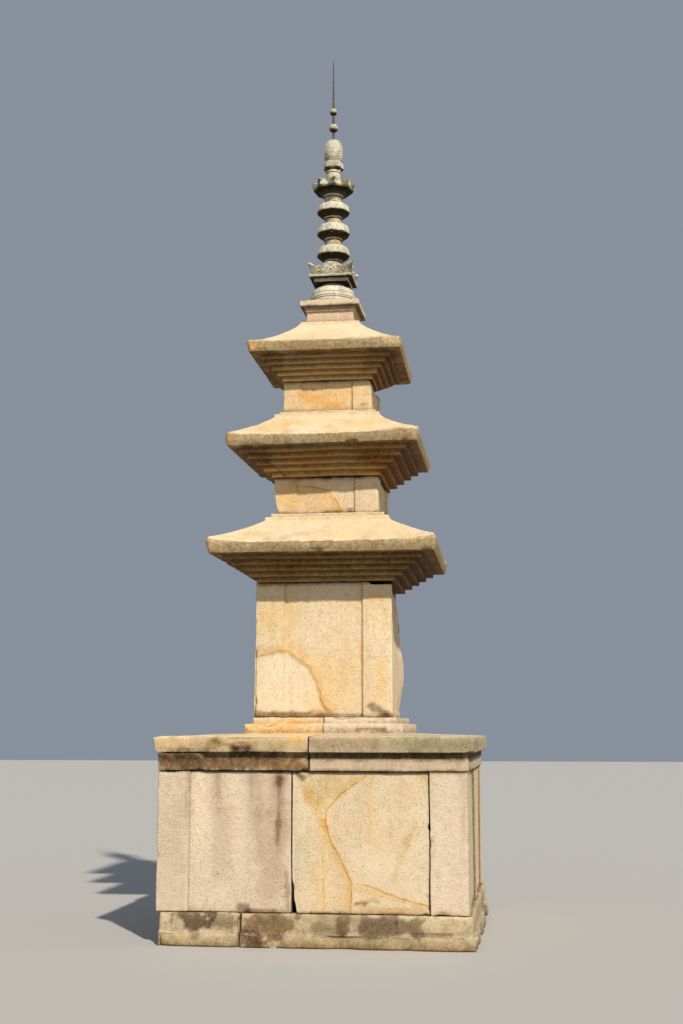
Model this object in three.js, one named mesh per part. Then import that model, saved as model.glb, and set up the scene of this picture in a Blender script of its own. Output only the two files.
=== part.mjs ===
// Three-storey granite pagoda on a single base tier, with a carved stone finial on an iron rod.
// Millimetres, +Z up. The front faces -Y and the origin is on the ground, under the centre.
import * as THREE from 'three';
import { mergeVertices } from 'three/addons/utils/BufferGeometryUtils.js';

// Driving dimensions. A "half" is half the width of a square stone.
const JOINT = 4; // open joint between upright slabs
const SEAM = 3; // open joint between plinth stones and between cap stones
const UP = new THREE.Vector3(0, 0, 1);

const plinth = {
  half: 1120, ledgeHalf: 1150, ledgeTop: 95, top: 225, depth: 340,
  frontJoint: -484, frontLeftEnd: -1063, leftInset: 35,
};

const wall = {
  half: 1095, bottom: 225, top: 1190, depth: 230, relief: 16,
  cornerWidth: 234, cornerStone: 265, centrePillar: 240, frontJoint: -133,
};

const cap = {
  slabSeam: -8, stepSeam: 14,
  mouldingHalf: 1110, mouldingTop: 1318,
  slabBottomHalf: 1145, slabHalf: 1150, slabTop: 1428,
  slopeTop: 1448, wornTop: 12, wornBottom: 38,
  lowerStepHalf: 603, lowerStepTop: 1520,
  upperStepHalf: 550, upperStepTop: 1567,
};

// worn lists how far the back right edge has been lost, as height and depth.
const storeys = [
  {
    name: 'storey_1', halfBottom: 521, halfTop: 518, bottom: 1567, top: 2579, pillar: 225, relief: 16,
    worn: [[1567, 52], [1628, 55], [1741, 33], [1822, 19], [1919, 16], [2033, 20], [2114, 46],
      [2262, 57], [2484, 76], [2579, 86]],
  },
  { name: 'storey_2', halfBottom: 405, halfTop: 403, bottom: 3120, top: 3408, pillar: 180, relief: 12, worn: [] },
  { name: 'storey_3', halfBottom: 349, halfTop: 346, bottom: 3938, top: 4186, pillar: 148, relief: 12, worn: [] },
];

// The soffit rises in five steps from the storey below to the eave. The eave face leans out to the bulge,
// lift is the rise of the corners, turn the angle the stone is set at, in degrees, shift how far to the
// right it lies, and tilt how much higher its eave lies at the right and at the back. The undercut is what
// has broken off the soffit's back right corner, at its bottom and at its top.
const roofs = [
  {
    name: 'roof_1', soffitBottom: 2579, eaveBottom: 2769, eaveHalf: 838, bulgeHalf: 866, bulgeRise: 70,
    topHalf: 848, eaveFace: 84, lift: 46, liftPower: 7, firstInset: 90, inset: 54.6,
    slopeEndHalf: 478, slopeTop: 3060, curve: 1.1, lowerStepTop: 3090, upperStepHalf: 438, top: 3120,
    turn: 1, shift: 8, tilt: [0, 0], broken: [], undercut: [0, 0],
  },
  {
    name: 'roof_2', soffitBottom: 3408, eaveBottom: 3602, eaveHalf: 721, bulgeHalf: 744, bulgeRise: 64,
    topHalf: 736, eaveFace: 75, lift: 36, liftPower: 3, firstInset: 78, inset: 54.6,
    slopeEndHalf: 416, slopeTop: 3888, curve: 1.2, lowerStepTop: 3914, upperStepHalf: 380, top: 3938,
    turn: 0.8, shift: 0, tilt: [12, 14],
    broken: [{ corner: [-1, -1], reach: 100, depth: 8, from: 3680, to: 3740 }],
    undercut: [0, 0],
  },
  {
    name: 'roof_3', soffitBottom: 4186, eaveBottom: 4371, eaveHalf: 588, bulgeHalf: 606, bulgeRise: 66,
    topHalf: 598, eaveFace: 78, lift: 16, liftPower: 3, firstInset: 82, inset: 37.5,
    slopeEndHalf: 250, slopeTop: 4669, curve: 1.4, lowerStepTop: 4680, upperStepHalf: 238, top: 4700,
    turn: 1, shift: 0, tilt: [0, 0],
    broken: [{ corner: [1, -1], reach: 130, depth: 20, from: 4430, to: 4520 }],
    undercut: [290, 50],
  },
];
const SOFFIT_STEPS = 5;
const SIDE_POINTS = 12; // points along one side of a roof ring
const BULGE_LIFT = 0.4; // share of the corner lift that the bulge of the eave face takes

const rod = { radius: 9, bottom: 4600, taperStart: 6625, tipRadius: 3.5, top: 7030, bore: 9.45 };

const finial = {
  base: { blockHalf: 189, blockTop: 4790, stepHalf: 205, stepTop: 4833, slabHalf: 239, top: 4883 },
  bowl: [[188, 4883], [187, 4955], [177, 4993], [165, 5012], [152, 5026], [128, 5038], [112, 5041]],
  neck: { radius: 104, drumTop: 5063, stepHalf: 140, top: 5098 },
  bracket: {
    slabHalf: 176, slabTop: 5121, waistHalf: 146, waistTop: 5134, rimHalf: 169, rimTop: 5165,
    leafFlare: 0.136, leafRise: 54, flowerRise: 65, flowerHalf: 0.42, rimWidth: 34,
  },
  collar: { radius: 80, height: 20, step: 3 },
  wheels: {
    neckRadius: 71, undercut: 30, rimFace: 26, radius: 134, petalRise: 96, petals: 8,
    crown: [[0, 134], [0.45, 127], [0.75, 115], [0.92, 98], [1, 78]], rimBottoms: [5313, 5499, 5685],
  },
  canopy: {
    bottom: 5772, neckRadius: 71, dishBottom: 5852, rimHeight: 5880, floor: 5900, radius: 167,
    crestLow: 14, crestHigh: 66, leafFlare: 0.095, lip: 30, turn: 13,
  },
  flameNeck: [[72, 0], [72, 18], [62, 30], [57, 78], [57, 131], [62, 137], [62, 155]],
  bud: {
    bottom: 6055, cupRise: 22, lobeRadius: 84.5, lobes: 5, lobeTurn: 36, lobeTop: 6131, lobeRound: 14, top: 6318,
    outline: [[0, 62], [0.12, 70], [0.28, 76], [0.45, 79], [0.65, 77], [0.82, 69], [0.94, 58], [1, 50]],
    grooveAngle: 14, grooveWidth: 5, grooveDepth: 0.06,
  },
  beads: [{ name: 'bead_lower', centre: 6437, radius: 38 }, { name: 'bead_upper', centre: 6580, radius: 32 }],
};

const cream = { color: 0xd6c39a, roughness: 0.92, metalness: 0 };
const pink = { color: 0xc9b5a4, roughness: 0.92, metalness: 0 };
const brown = { color: 0x9c8672, roughness: 0.95, metalness: 0 };
const grey = { color: 0xa39a80, roughness: 0.94, metalness: 0 };
const iron = { color: 0x4b4640, roughness: 0.7, metalness: 0.8 };

const pagoda = new THREE.Group();
pagoda.name = 'pagoda';

function place(name, geometry, finish) {
  const mesh = new THREE.Mesh(geometry, new THREE.MeshStandardMaterial(finish));
  mesh.name = name;
  pagoda.add(mesh);
  return mesh;
}

// Joins rings of equally many points into a closed skin, from the lowest outer ring upwards.
// A skin with a bore runs back down inside it to its first ring; any other is closed by two flat ends.
function skin(rings, bored = false) {
  const count = rings[0].length;
  const points = rings.flat();
  const faces = [];
  const links = bored ? rings.length : rings.length - 1;
  for (let link = 0; link < links; link += 1) {
    const below = link * count;
    const above = ((link + 1) % rings.length) * count;
    for (let i = 0; i < count; i += 1) {
      const next = (i + 1) % count;
      faces.push(below + i, below + next, above + next);
      faces.push(below + i, above + next, above + i);
    }
  }
  if (!bored) {
    closeEnd(points, faces, rings[0], 0, false);
    closeEnd(points, faces, rings[rings.length - 1], (rings.length - 1) * count, true);
  }
  const geometry = new THREE.BufferGeometry();
  geometry.setAttribute('position', new THREE.Float32BufferAttribute(points.flatMap((p) => [p.x, p.y, p.z]), 3));
  geometry.setIndex(faces);
  return mergeVertices(geometry, 0.001);
}

function closeEnd(points, faces, ring, start, upward) {
  const centre = ring.reduce((sum, p) => sum.add(p), new THREE.Vector3()).divideScalar(ring.length);
  const middle = points.push(centre) - 1;
  ring.forEach((_, i) => {
    const next = (i + 1) % ring.length;
    faces.push(...(upward ? [start + i, start + next, middle] : [start + next, start + i, middle]));
  });
}

// A square ring with `steps` points a side, from the front left corner round by the right.
// heightAt takes the place along the side, from -1 to 1; flare pulls the corners outwards by that share.
function squareRing(half, steps, heightAt, flare = 0) {
  const ring = [];
  for (let side = 0; side < 4; side += 1) {
    for (let step = 0; step < steps; step += 1) {
      const along = -1 + (2 * step) / steps;
      const reach = half * (1 + flare * along ** 4);
      const point = new THREE.Vector3(along * reach, -reach, heightAt(along));
      ring.push(point.applyAxisAngle(UP, (side * Math.PI) / 2));
    }
  }
  return ring;
}

// A round ring whose points face those of a square ring; shape scales the radius by the angle.
function roundRing(radius, count, heightAt, shape = () => 1) {
  return Array.from({ length: count }, (_, i) => {
    const angle = (-3 * Math.PI) / 4 + (2 * Math.PI * i) / count;
    const reach = radius * shape(angle);
    return new THREE.Vector3(reach * Math.cos(angle), reach * Math.sin(angle), heightAt(angle));
  });
}

const level = (height) => () => height;

function boreRings(count, top, bottom) {
  return [roundRing(rod.bore, count, level(top)), roundRing(rod.bore, count, level(bottom))];
}

function rectangleRing(x0, x1, y0, y1, height) {
  return [[x0, y0], [x1, y0], [x1, y1], [x0, y1]].map(([x, y]) => new THREE.Vector3(x, y, height));
}

// Turns an outline or a solid drawn for the front face to another side, a quarter turn each.
const sides = { front: 0, right: 1, back: 2, left: 3 };

function turned(geometry, side) {
  return geometry.rotateZ((sides[side] * Math.PI) / 2);
}

// A kerb stone from x0 to x1 along the front; ends of the course carry the ledge round the corner.
function kerbStone(x0, x1, ledgeX0, ledgeX1, inset = 0) {
  const back = -plinth.half + plinth.depth;
  const face = -plinth.half + inset;
  const ledgeFace = -plinth.ledgeHalf + inset;
  return skin([
    rectangleRing(ledgeX0, ledgeX1, ledgeFace, back, 0),
    rectangleRing(ledgeX0, ledgeX1, ledgeFace, back, plinth.ledgeTop),
    rectangleRing(x0, x1, face, back, plinth.ledgeTop),
    rectangleRing(x0, x1, face, back, plinth.top),
  ]);
}

function makePlinth() {
  const end = plinth.half;
  const ledge = plinth.ledgeHalf;
  const joint = plinth.frontJoint;
  const leftEnd = plinth.frontLeftEnd;
  const inset = plinth.leftInset;
  const inner = plinth.half - plinth.depth - SEAM;
  const halfSeam = SEAM / 2;
  place('plinth_front_left', kerbStone(leftEnd, joint - halfSeam, leftEnd, joint - halfSeam), brown);
  place('plinth_front_right', kerbStone(joint + halfSeam, end, joint + halfSeam, ledge), brown);
  place('plinth_right', turned(kerbStone(-inner, inner, -inner, inner), 'right'), brown);
  place('plinth_back_right', turned(kerbStone(-end, -halfSeam, -ledge, -halfSeam), 'back'), brown);
  place('plinth_back_left', turned(kerbStone(halfSeam, end - inset, halfSeam, ledge - inset), 'back'), brown);
  place('plinth_left', turned(kerbStone(-inner, inner, -inner, inner, inset), 'left'), brown);
}

// An upright slab along the front from x0 to x1. Its face is cut back by the relief except at pillars.
function wallSlab(x0, x1, pillars) {
  const face = -wall.half;
  const back = face + wall.depth;
  const outline = new THREE.Shape();
  outline.moveTo(x0, back);
  const stands = (x) => pillars.some(([from, to]) => x >= from && x <= to);
  outline.lineTo(x0, stands(x0) ? face : face + wall.relief);
  pillars.flat().filter((x) => x > x0 && x < x1).forEach((x) => {
    const starts = pillars.some(([from]) => from === x);
    outline.lineTo(x, starts ? face + wall.relief : face);
    outline.lineTo(x, starts ? face : face + wall.relief);
  });
  outline.lineTo(x1, stands(x1) ? face : face + wall.relief);
  outline.lineTo(x1, back);
  return upright(outline, wall.bottom, wall.top);
}

function upright(outline, bottom, top) {
  const geometry = new THREE.ExtrudeGeometry(outline, { depth: top - bottom, bevelEnabled: false });
  return cleaned(geometry.translate(0, 0, bottom));
}

function cleaned(geometry) {
  geometry.deleteAttribute('normal');
  geometry.deleteAttribute('uv');
  return mergeVertices(geometry, 0.001);
}

// The plain front right slab, whose lower left corner has broken away along a curve.
function brokenFrontSlab(x0, x1) {
  const outline = new THREE.Shape();
  outline.moveTo(x0 + 58, wall.bottom);
  outline.lineTo(x1, wall.bottom);
  outline.lineTo(x1, wall.top);
  outline.lineTo(x0, wall.top);
  outline.lineTo(x0, wall.bottom + 330);
  outline.quadraticCurveTo(x0 + 6, wall.bottom + 120, x0 + 58, wall.bottom);
  const depth = wall.depth - wall.relief;
  const geometry = new THREE.ExtrudeGeometry(outline, { depth, bevelEnabled: false, curveSegments: 5 });
  return cleaned(geometry.rotateX(Math.PI / 2).translate(0, -wall.half + wall.relief + depth, 0));
}

function makeBaseWall() {
  const edge = wall.half;
  const joint = wall.frontJoint;
  const stone = edge - wall.cornerStone;
  const inner = edge - wall.depth - JOINT;
  const corner = edge - wall.cornerWidth;
  const pillar = wall.centrePillar / 2;
  place('base_front_left', wallSlab(-edge, joint - JOINT / 2, [[-edge, -corner]]), pink);
  place('base_front_right', brokenFrontSlab(joint + JOINT / 2, stone - JOINT), cream);
  const cornerRing = (height) => rectangleRing(stone, edge, -edge, -stone, height);
  place('base_corner_front_right', skin([cornerRing(wall.bottom), cornerRing(wall.top)]), pink);
  const beyondCorner = -stone + JOINT;
  place('base_right_front', turned(wallSlab(beyondCorner, pillar, [[-pillar, pillar]]), 'right'), pink);
  place('base_right_back', turned(wallSlab(pillar + JOINT, edge, [[corner, edge]]), 'right'), cream);
  place('base_back_right', turned(wallSlab(-inner, -pillar - JOINT, []), 'back'), cream);
  place('base_back_left', turned(wallSlab(-pillar, edge, [[-pillar, pillar], [corner, edge]]), 'back'), pink);
  place('base_left_back', turned(wallSlab(-inner, pillar, [[-pillar, pillar]]), 'left'), cream);
  place('base_left_front', turned(wallSlab(pillar + JOINT, inner, []), 'left'), pink);
}

// A quarter of the cap: signX and signY name its corner, and worn cuts the slab's end back at its bottom and top.
function capStone(signX, signY, worn = [0, 0]) {
  const seamY = (signY * SEAM) / 2;
  const ring = (half, height, seam = cap.slabSeam, cut = 0) => {
    const seamX = seam + (signX * SEAM) / 2;
    const x = signX * (half - cut);
    const y = signY * half;
    return rectangleRing(Math.min(seamX, x), Math.max(seamX, x), Math.min(seamY, y), Math.max(seamY, y), height);
  };
  return skin([
    ring(cap.mouldingHalf, wall.top),
    ring(cap.mouldingHalf, cap.mouldingTop),
    ring(cap.slabBottomHalf, cap.mouldingTop, cap.slabSeam, worn[0]),
    ring(cap.slabHalf, cap.slabTop, cap.slabSeam, worn[1]),
    ring(cap.lowerStepHalf, cap.slopeTop, cap.stepSeam),
    ring(cap.lowerStepHalf, cap.lowerStepTop, cap.stepSeam),
    ring(cap.upperStepHalf, cap.lowerStepTop, cap.stepSeam),
    ring(cap.upperStepHalf, cap.upperStepTop, cap.stepSeam),
  ]);
}

function makeCap() {
  place('cap_front_left', capStone(-1, -1, [cap.wornBottom, cap.wornTop]), cream);
  place('cap_front_right', capStone(1, -1), pink);
  place('cap_back_right', capStone(1, 1), pink);
  place('cap_back_left', capStone(-1, 1), cream);
}

// One level of a storey block: corner pillars stand out, and the back right edge is lost by wornDepth.
function storeyRing(storey, height, wornDepth) {
  const share = (height - storey.bottom) / (storey.top - storey.bottom);
  const half = THREE.MathUtils.lerp(storey.halfBottom, storey.halfTop, share);
  const pillarEdge = half - storey.pillar;
  const cut = half - storey.relief;
  const slant = storey.relief / 4; // the sides of the relief lean a little
  const side = [[-half, half], [-pillarEdge, half], [-pillarEdge + slant, cut], [pillarEdge - slant, cut], [pillarEdge, half]];
  const ring = sides4().flatMap((turn) => side.map(([along, out]) => (
    new THREE.Vector3(along, -out, height).applyAxisAngle(UP, turn))));
  ring.forEach((point) => {
    const back = THREE.MathUtils.clamp((point.y + half) / (2 * half), 0, 1);
    if (point.x > 0) point.x = Math.min(point.x, half - wornDepth * back ** 0.8);
  });
  return ring;
}

function sides4() {
  return Object.values(sides).map((quarter) => (quarter * Math.PI) / 2);
}

function makeStoreys() {
  storeys.forEach((storey) => {
    const plain = [[storey.bottom, 0], [storey.top, 0]];
    const levels = storey.worn.length ? storey.worn : plain;
    place(storey.name, skin(levels.map(([height, depth]) => storeyRing(storey, height, depth))), cream);
  });
}

// Moves the points near a broken corner towards the middle of the stone.
function breakCorners(ring, broken, half) {
  broken.forEach(({ corner, reach, depth, from, to }) => {
    const tip = new THREE.Vector2(corner[0] * half, corner[1] * half);
    ring.filter((p) => p.z >= from && p.z <= to).forEach((point) => {
      const away = tip.distanceTo(new THREE.Vector2(point.x, point.y));
      const loss = depth * Math.max(0, 1 - away / reach);
      point.x -= corner[0] * loss;
      point.y -= corner[1] * loss;
    });
  });
  return ring;
}

// Cuts the back right corner off a ring of the soffit, along a slanting plane.
function undercutCorner(ring, half, cut) {
  ring.forEach((point) => {
    const excess = Math.max(0, point.x + point.y - (2 * half - cut));
    point.x -= excess / 2;
    point.y -= excess / 2;
  });
  return ring;
}

// Turns a roof's ring by its setting angle, shifts it and tilts its eave; the middle stays level.
function laid(ring, roof) {
  ring.forEach((point) => {
    const reach = Math.max(Math.abs(point.x), Math.abs(point.y));
    const outer = THREE.MathUtils.smoothstep(reach, roof.slopeEndHalf, roof.eaveHalf);
    const [right, back] = roof.tilt.map((rise) => (outer * rise) / 2);
    point.z += right * (1 + point.x / roof.eaveHalf) + back * (1 + point.y / roof.eaveHalf);
    point.applyAxisAngle(UP, THREE.MathUtils.degToRad(roof.turn));
    point.x += roof.shift;
  });
  return ring;
}

function roofRings(roof) {
  const flat = (half, height) => squareRing(half, SIDE_POINTS, level(height));
  const lifted = (half, height, lift) => (
    squareRing(half, SIDE_POINTS, (along) => height + lift * Math.abs(along) ** roof.liftPower));
  const rings = [];
  const rise = (roof.eaveBottom - roof.soffitBottom) / SOFFIT_STEPS;
  for (let step = 0; step < SOFFIT_STEPS; step += 1) {
    const half = roof.eaveHalf - roof.firstInset - (SOFFIT_STEPS - 1 - step) * roof.inset;
    const cut = THREE.MathUtils.lerp(...roof.undercut, step / (SOFFIT_STEPS - 1));
    [step, step + 1].forEach((stair) => {
      rings.push(undercutCorner(flat(half, roof.soffitBottom + stair * rise), half, cut));
    });
  }
  rings.push(flat(roof.eaveHalf, roof.eaveBottom));
  rings.push(lifted(roof.bulgeHalf, roof.eaveBottom + roof.bulgeRise, roof.lift * BULGE_LIFT));
  const eaveTop = roof.eaveBottom + roof.eaveFace;
  [0, 0.12, 0.28, 0.46, 0.64, 0.82, 1].forEach((share) => {
    const half = THREE.MathUtils.lerp(roof.topHalf, roof.slopeEndHalf, share);
    const height = eaveTop + (roof.slopeTop - eaveTop) * share ** roof.curve;
    rings.push(lifted(half, height, roof.lift * (1 - share) ** 1.5));
  });
  rings.push(flat(roof.slopeEndHalf, roof.lowerStepTop));
  rings.push(flat(roof.upperStepHalf, roof.lowerStepTop));
  rings.push(flat(roof.upperStepHalf, roof.top));
  return rings.map((ring) => laid(breakCorners(ring, roof.broken, roof.eaveHalf), roof));
}

function makeRoofs() {
  roofs.forEach((roof, index) => {
    const rings = roofRings(roof);
    if (index === roofs.length - 1) rings.push(...boreRings(4 * SIDE_POINTS, roof.top, rod.bottom));
    place(roof.name, skin(rings), cream);
  });
}

function makeFinialBase() {
  const { blockHalf, blockTop, stepHalf, stepTop, slabHalf, top } = finial.base;
  const bottom = roofs[2].top;
  const flat = (half, height) => squareRing(half, 4, level(height));
  const rings = [
    flat(blockHalf, bottom), flat(blockHalf, blockTop), flat(stepHalf, blockTop + 8), flat(stepHalf, stepTop),
    flat(slabHalf, stepTop), flat(slabHalf, top), ...boreRings(16, top, bottom),
  ];
  place('finial_base', skin(rings, true), cream);
}

// A turned stone with a bore: outline lists radius and height from the bottom up.
function turnedStone(outline, segments = 32) {
  const [, bottom] = outline[0];
  const [, top] = outline[outline.length - 1];
  const closed = [...outline, [rod.bore, top], [rod.bore, bottom], outline[0]];
  const points = closed.map(([radius, height]) => new THREE.Vector2(radius, height));
  return cleaned(new THREE.LatheGeometry(points, segments).rotateX(Math.PI / 2));
}

function makeBowlAndNeck() {
  const { bowl, neck } = finial;
  place('inverted_bowl', turnedStone(bowl), grey);
  const bottom = bowl[bowl.length - 1][1];
  const square = (half, height) => squareRing(half, 6, level(height));
  place('bowl_neck', skin([
    roundRing(neck.radius, 24, level(bottom)), roundRing(neck.radius, 24, level(neck.drumTop)),
    square(neck.stepHalf, neck.drumTop), square(neck.stepHalf, neck.top), ...boreRings(24, neck.top, bottom),
  ], true), grey);
}

function makeBracket() {
  const {
    slabHalf, slabTop, waistHalf, waistTop, rimHalf, rimTop, leafFlare, leafRise, flowerRise, flowerHalf, rimWidth,
  } = finial.bracket;
  const bottom = finial.neck.top;
  const steps = 12;
  const flat = (half, height) => squareRing(half, steps, level(height));
  const flower = (along) => Math.sqrt(Math.max(0, 1 - (along / flowerHalf) ** 2));
  const crest = (along) => rimTop + leafRise * along ** 4 + flowerRise * flower(along);
  place('lotus_bracket', skin([
    flat(slabHalf, bottom), flat(slabHalf, slabTop), flat(waistHalf, slabTop), flat(waistHalf, waistTop),
    squareRing(rimHalf, steps, crest, leafFlare), squareRing(rimHalf - rimWidth, steps, crest, leafFlare),
    roundRing(finial.collar.radius, 4 * steps, level(rimTop)), ...boreRings(4 * steps, rimTop, bottom),
  ], true), grey);
}

// The column under a dish, from its bottom up to the collar that the dish stands on.
function collarRings(round, neckRadius, bottom, dish) {
  const { radius, height, step } = finial.collar;
  return [
    round(neckRadius, bottom), round(neckRadius, dish - height - step),
    round(radius, dish - height), round(radius, dish - step),
  ];
}

function makeWheels() {
  const wheels = finial.wheels;
  const count = 48;
  const petal = (angle) => 1 - 0.06 * Math.abs(Math.cos((angle * wheels.petals) / 2)) ** 3;
  wheels.rimBottoms.forEach((rimBottom, index) => {
    const last = index === wheels.rimBottoms.length - 1;
    const bottom = index ? wheels.rimBottoms[index - 1] + wheels.petalRise : finial.bracket.rimTop;
    const top = last ? finial.canopy.bottom : rimBottom + wheels.petalRise;
    const crownBottom = rimBottom + wheels.rimFace;
    const round = (radius, height, shape) => roundRing(radius, count, level(height), shape);
    place(`wheel_${index + 1}`, skin([
      ...collarRings(round, wheels.neckRadius, bottom, rimBottom - wheels.undercut),
      round(wheels.neckRadius, rimBottom - wheels.undercut), round(wheels.radius - 6, rimBottom),
      ...wheels.crown.map(([share, radius]) => round(radius, crownBottom + share * (top - crownBottom), petal)),
      ...boreRings(count, top, bottom),
    ], true), grey);
  });
}

function makeCanopy() {
  const canopy = finial.canopy;
  const count = 56;
  const eighth = Math.PI / 4;
  const turnedBy = (angle) => angle - THREE.MathUtils.degToRad(canopy.turn);
  const octagon = (angle) => {
    const turn = THREE.MathUtils.euclideanModulo(turnedBy(angle), eighth);
    return Math.cos(eighth / 2) / Math.cos(turn - eighth / 2);
  };
  const leaf = (angle) => Math.abs(Math.cos(4 * turnedBy(angle)));
  const crest = (angle) => (
    canopy.rimHeight + THREE.MathUtils.lerp(canopy.crestLow, canopy.crestHigh, leaf(angle) ** 0.7));
  const flared = (angle) => octagon(angle) * (1 + canopy.leafFlare * leaf(angle) ** 3);
  const round = (radius, height, shape) => roundRing(radius, count, level(height), shape);
  const dish = canopy.dishBottom - 8;
  place('canopy', skin([
    ...collarRings(round, canopy.neckRadius, canopy.bottom, dish), round(canopy.neckRadius, dish),
    round(canopy.neckRadius + 20, canopy.dishBottom), round(canopy.radius, canopy.rimHeight, octagon),
    roundRing(canopy.radius, count, crest, flared), roundRing(canopy.radius - canopy.lip, count, crest, flared),
    round(canopy.radius - canopy.lip - 10, canopy.floor, octagon), ...boreRings(count, canopy.floor, canopy.bottom),
  ], true), grey);
}

function makeFlameNeckAndBud() {
  const { canopy, flameNeck, bud } = finial;
  place('flame_neck', turnedStone(flameNeck.map(([radius, height]) => [radius, canopy.floor + height]), 24), grey);
  const count = 48;
  const quarter = Math.PI / 2;
  const ribs = (angle) => {
    const aside = Math.abs(THREE.MathUtils.euclideanModulo(angle, quarter) - quarter / 2);
    const offset = (THREE.MathUtils.radToDeg(aside) - bud.grooveAngle) / bud.grooveWidth;
    return 1 - bud.grooveDepth * Math.exp(-(offset ** 2));
  };
  const lobeStart = THREE.MathUtils.degToRad(bud.lobeTurn) - quarter;
  const lobes = (angle) => 1 - 0.12 * Math.abs(Math.sin((bud.lobes / 2) * (angle - lobeStart))) ** 3;
  const body = bud.outline.map(([share, radius]) => (
    roundRing(radius, count, level(THREE.MathUtils.lerp(bud.lobeTop, bud.top, share)), ribs)));
  const [neckRadius] = flameNeck[flameNeck.length - 1];
  place('flame_bud', skin([
    roundRing(neckRadius, count, level(bud.bottom)),
    roundRing(bud.lobeRadius, count, level(bud.bottom + bud.cupRise), lobes),
    roundRing(bud.lobeRadius, count, level(bud.lobeTop - bud.lobeRound), lobes), ...body,
    ...boreRings(count, bud.top, bud.bottom),
  ], true), grey);
}

function makeBeadsAndRod() {
  finial.beads.forEach(({ name, centre, radius }) => {
    const outline = Array.from({ length: 9 }, (_, i) => {
      const angle = -Math.PI / 2 + 0.3 + (i * (Math.PI - 0.6)) / 8;
      return [radius * Math.cos(angle), centre + radius * Math.sin(angle)];
    });
    place(name, turnedStone(outline, 20), grey);
  });
  const outline = [
    [0, rod.bottom + 0.3], [rod.radius, rod.bottom + 0.3], [rod.radius, rod.taperStart], [rod.tipRadius, rod.top - 8], [0, rod.top],
  ];
  const points = outline.map(([radius, height]) => new THREE.Vector2(radius, height));
  place('finial_rod', cleaned(new THREE.LatheGeometry(points, 16).rotateX(Math.PI / 2)), iron);
}

makePlinth();
makeBaseWall();
makeCap();
makeStoreys();
makeRoofs();
makeFinialBase();
makeBowlAndNeck();
makeBracket();
makeWheels();
makeCanopy();
makeFlameNeckAndBud();
makeBeadsAndRod();

export default pagoda;
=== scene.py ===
import math

import bpy
import numpy as np
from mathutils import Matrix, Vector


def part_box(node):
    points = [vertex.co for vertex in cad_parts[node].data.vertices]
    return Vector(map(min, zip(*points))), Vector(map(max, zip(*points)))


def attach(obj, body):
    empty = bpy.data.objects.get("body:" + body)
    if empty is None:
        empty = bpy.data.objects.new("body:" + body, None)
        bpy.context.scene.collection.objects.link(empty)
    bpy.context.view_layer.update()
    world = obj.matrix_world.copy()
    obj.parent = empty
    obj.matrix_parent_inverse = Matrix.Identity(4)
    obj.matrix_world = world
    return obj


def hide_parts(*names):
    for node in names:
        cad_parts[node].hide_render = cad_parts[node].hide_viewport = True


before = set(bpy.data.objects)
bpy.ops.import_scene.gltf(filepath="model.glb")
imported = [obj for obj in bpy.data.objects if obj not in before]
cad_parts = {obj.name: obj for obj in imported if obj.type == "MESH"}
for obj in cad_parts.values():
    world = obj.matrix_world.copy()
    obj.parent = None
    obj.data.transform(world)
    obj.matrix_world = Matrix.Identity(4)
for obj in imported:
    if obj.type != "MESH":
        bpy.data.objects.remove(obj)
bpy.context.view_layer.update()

# Weathered granite pagoda. Every stone is a numpy surface laid over its own solid, then worn.
# Metres, +Z up, the front faces -Y.

# Camera, light and floor

viewpoint = {
    "place": (1.567, -10.807, 1.461),  # eye height of someone standing in front, a little to the right
    "pitch": 9.02,                     # degrees up
    "turn": 7.90,                      # degrees to the left
    "lens": 48.69,
    "sensor": 36.0,
    "far": 200,
}

daylight = {
    "fromRight": 31.0,  # degrees round from the front
    "height": 42.0,     # degrees above the horizon
    "power": 4.3,
    "spread": 1.6,      # degrees, softens the shadow edges
    "warmth": (1.0, 0.93, 0.82),
    "sky": (0.66, 0.76, 0.90),
    "skyPower": 0.37,
}
floorLook = {"reach": 60, "colour": (0.44, 0.43, 0.41, 1), "roughness": 0.9}


def makeCamera():
    lens = bpy.data.cameras.new("viewer")
    lens.lens = viewpoint["lens"]
    lens.sensor_width = viewpoint["sensor"]
    lens.clip_end = viewpoint["far"]
    camera = bpy.data.objects.new("viewer", lens)
    camera.location = viewpoint["place"]
    camera.rotation_euler = (math.radians(90 + viewpoint["pitch"]), 0, math.radians(viewpoint["turn"]))
    bpy.context.scene.collection.objects.link(camera)
    bpy.context.scene.camera = camera


def makeLight():
    sun = bpy.data.lights.new("sun", "SUN")
    sun.energy = daylight["power"]
    sun.angle = math.radians(daylight["spread"])
    sun.color = daylight["warmth"]
    lamp = bpy.data.objects.new("sun", sun)
    lamp.rotation_euler = (math.radians(90 - daylight["height"]), 0, math.radians(daylight["fromRight"]))
    bpy.context.scene.collection.objects.link(lamp)
    world = bpy.data.worlds.new("paleSky")
    world.use_nodes = True
    sky = world.node_tree.nodes["Background"]
    sky.inputs["Color"].default_value = (*daylight["sky"], 1)
    sky.inputs["Strength"].default_value = daylight["skyPower"]
    bpy.context.scene.world = world
    bpy.context.scene.view_settings.view_transform = "Standard"


def makeFloor():
    mesh = bpy.data.meshes.new("floor")
    reach = floorLook["reach"]
    corners = [(-reach, -reach, 0), (reach, -reach, 0), (reach, reach, 0), (-reach, reach, 0)]
    mesh.from_pydata(corners, [], [(0, 1, 2, 3)])
    floor = bpy.data.objects.new("floor", mesh)
    bpy.context.scene.collection.objects.link(floor)
    pale = bpy.data.materials.new("paleFloor")
    pale.use_nodes = True
    shader = pale.node_tree.nodes["Principled BSDF"]
    shader.inputs["Base Color"].default_value = floorLook["colour"]
    shader.inputs["Roughness"].default_value = floorLook["roughness"]
    mesh.materials.append(pale)


# Noise on whole arrays of points

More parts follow.
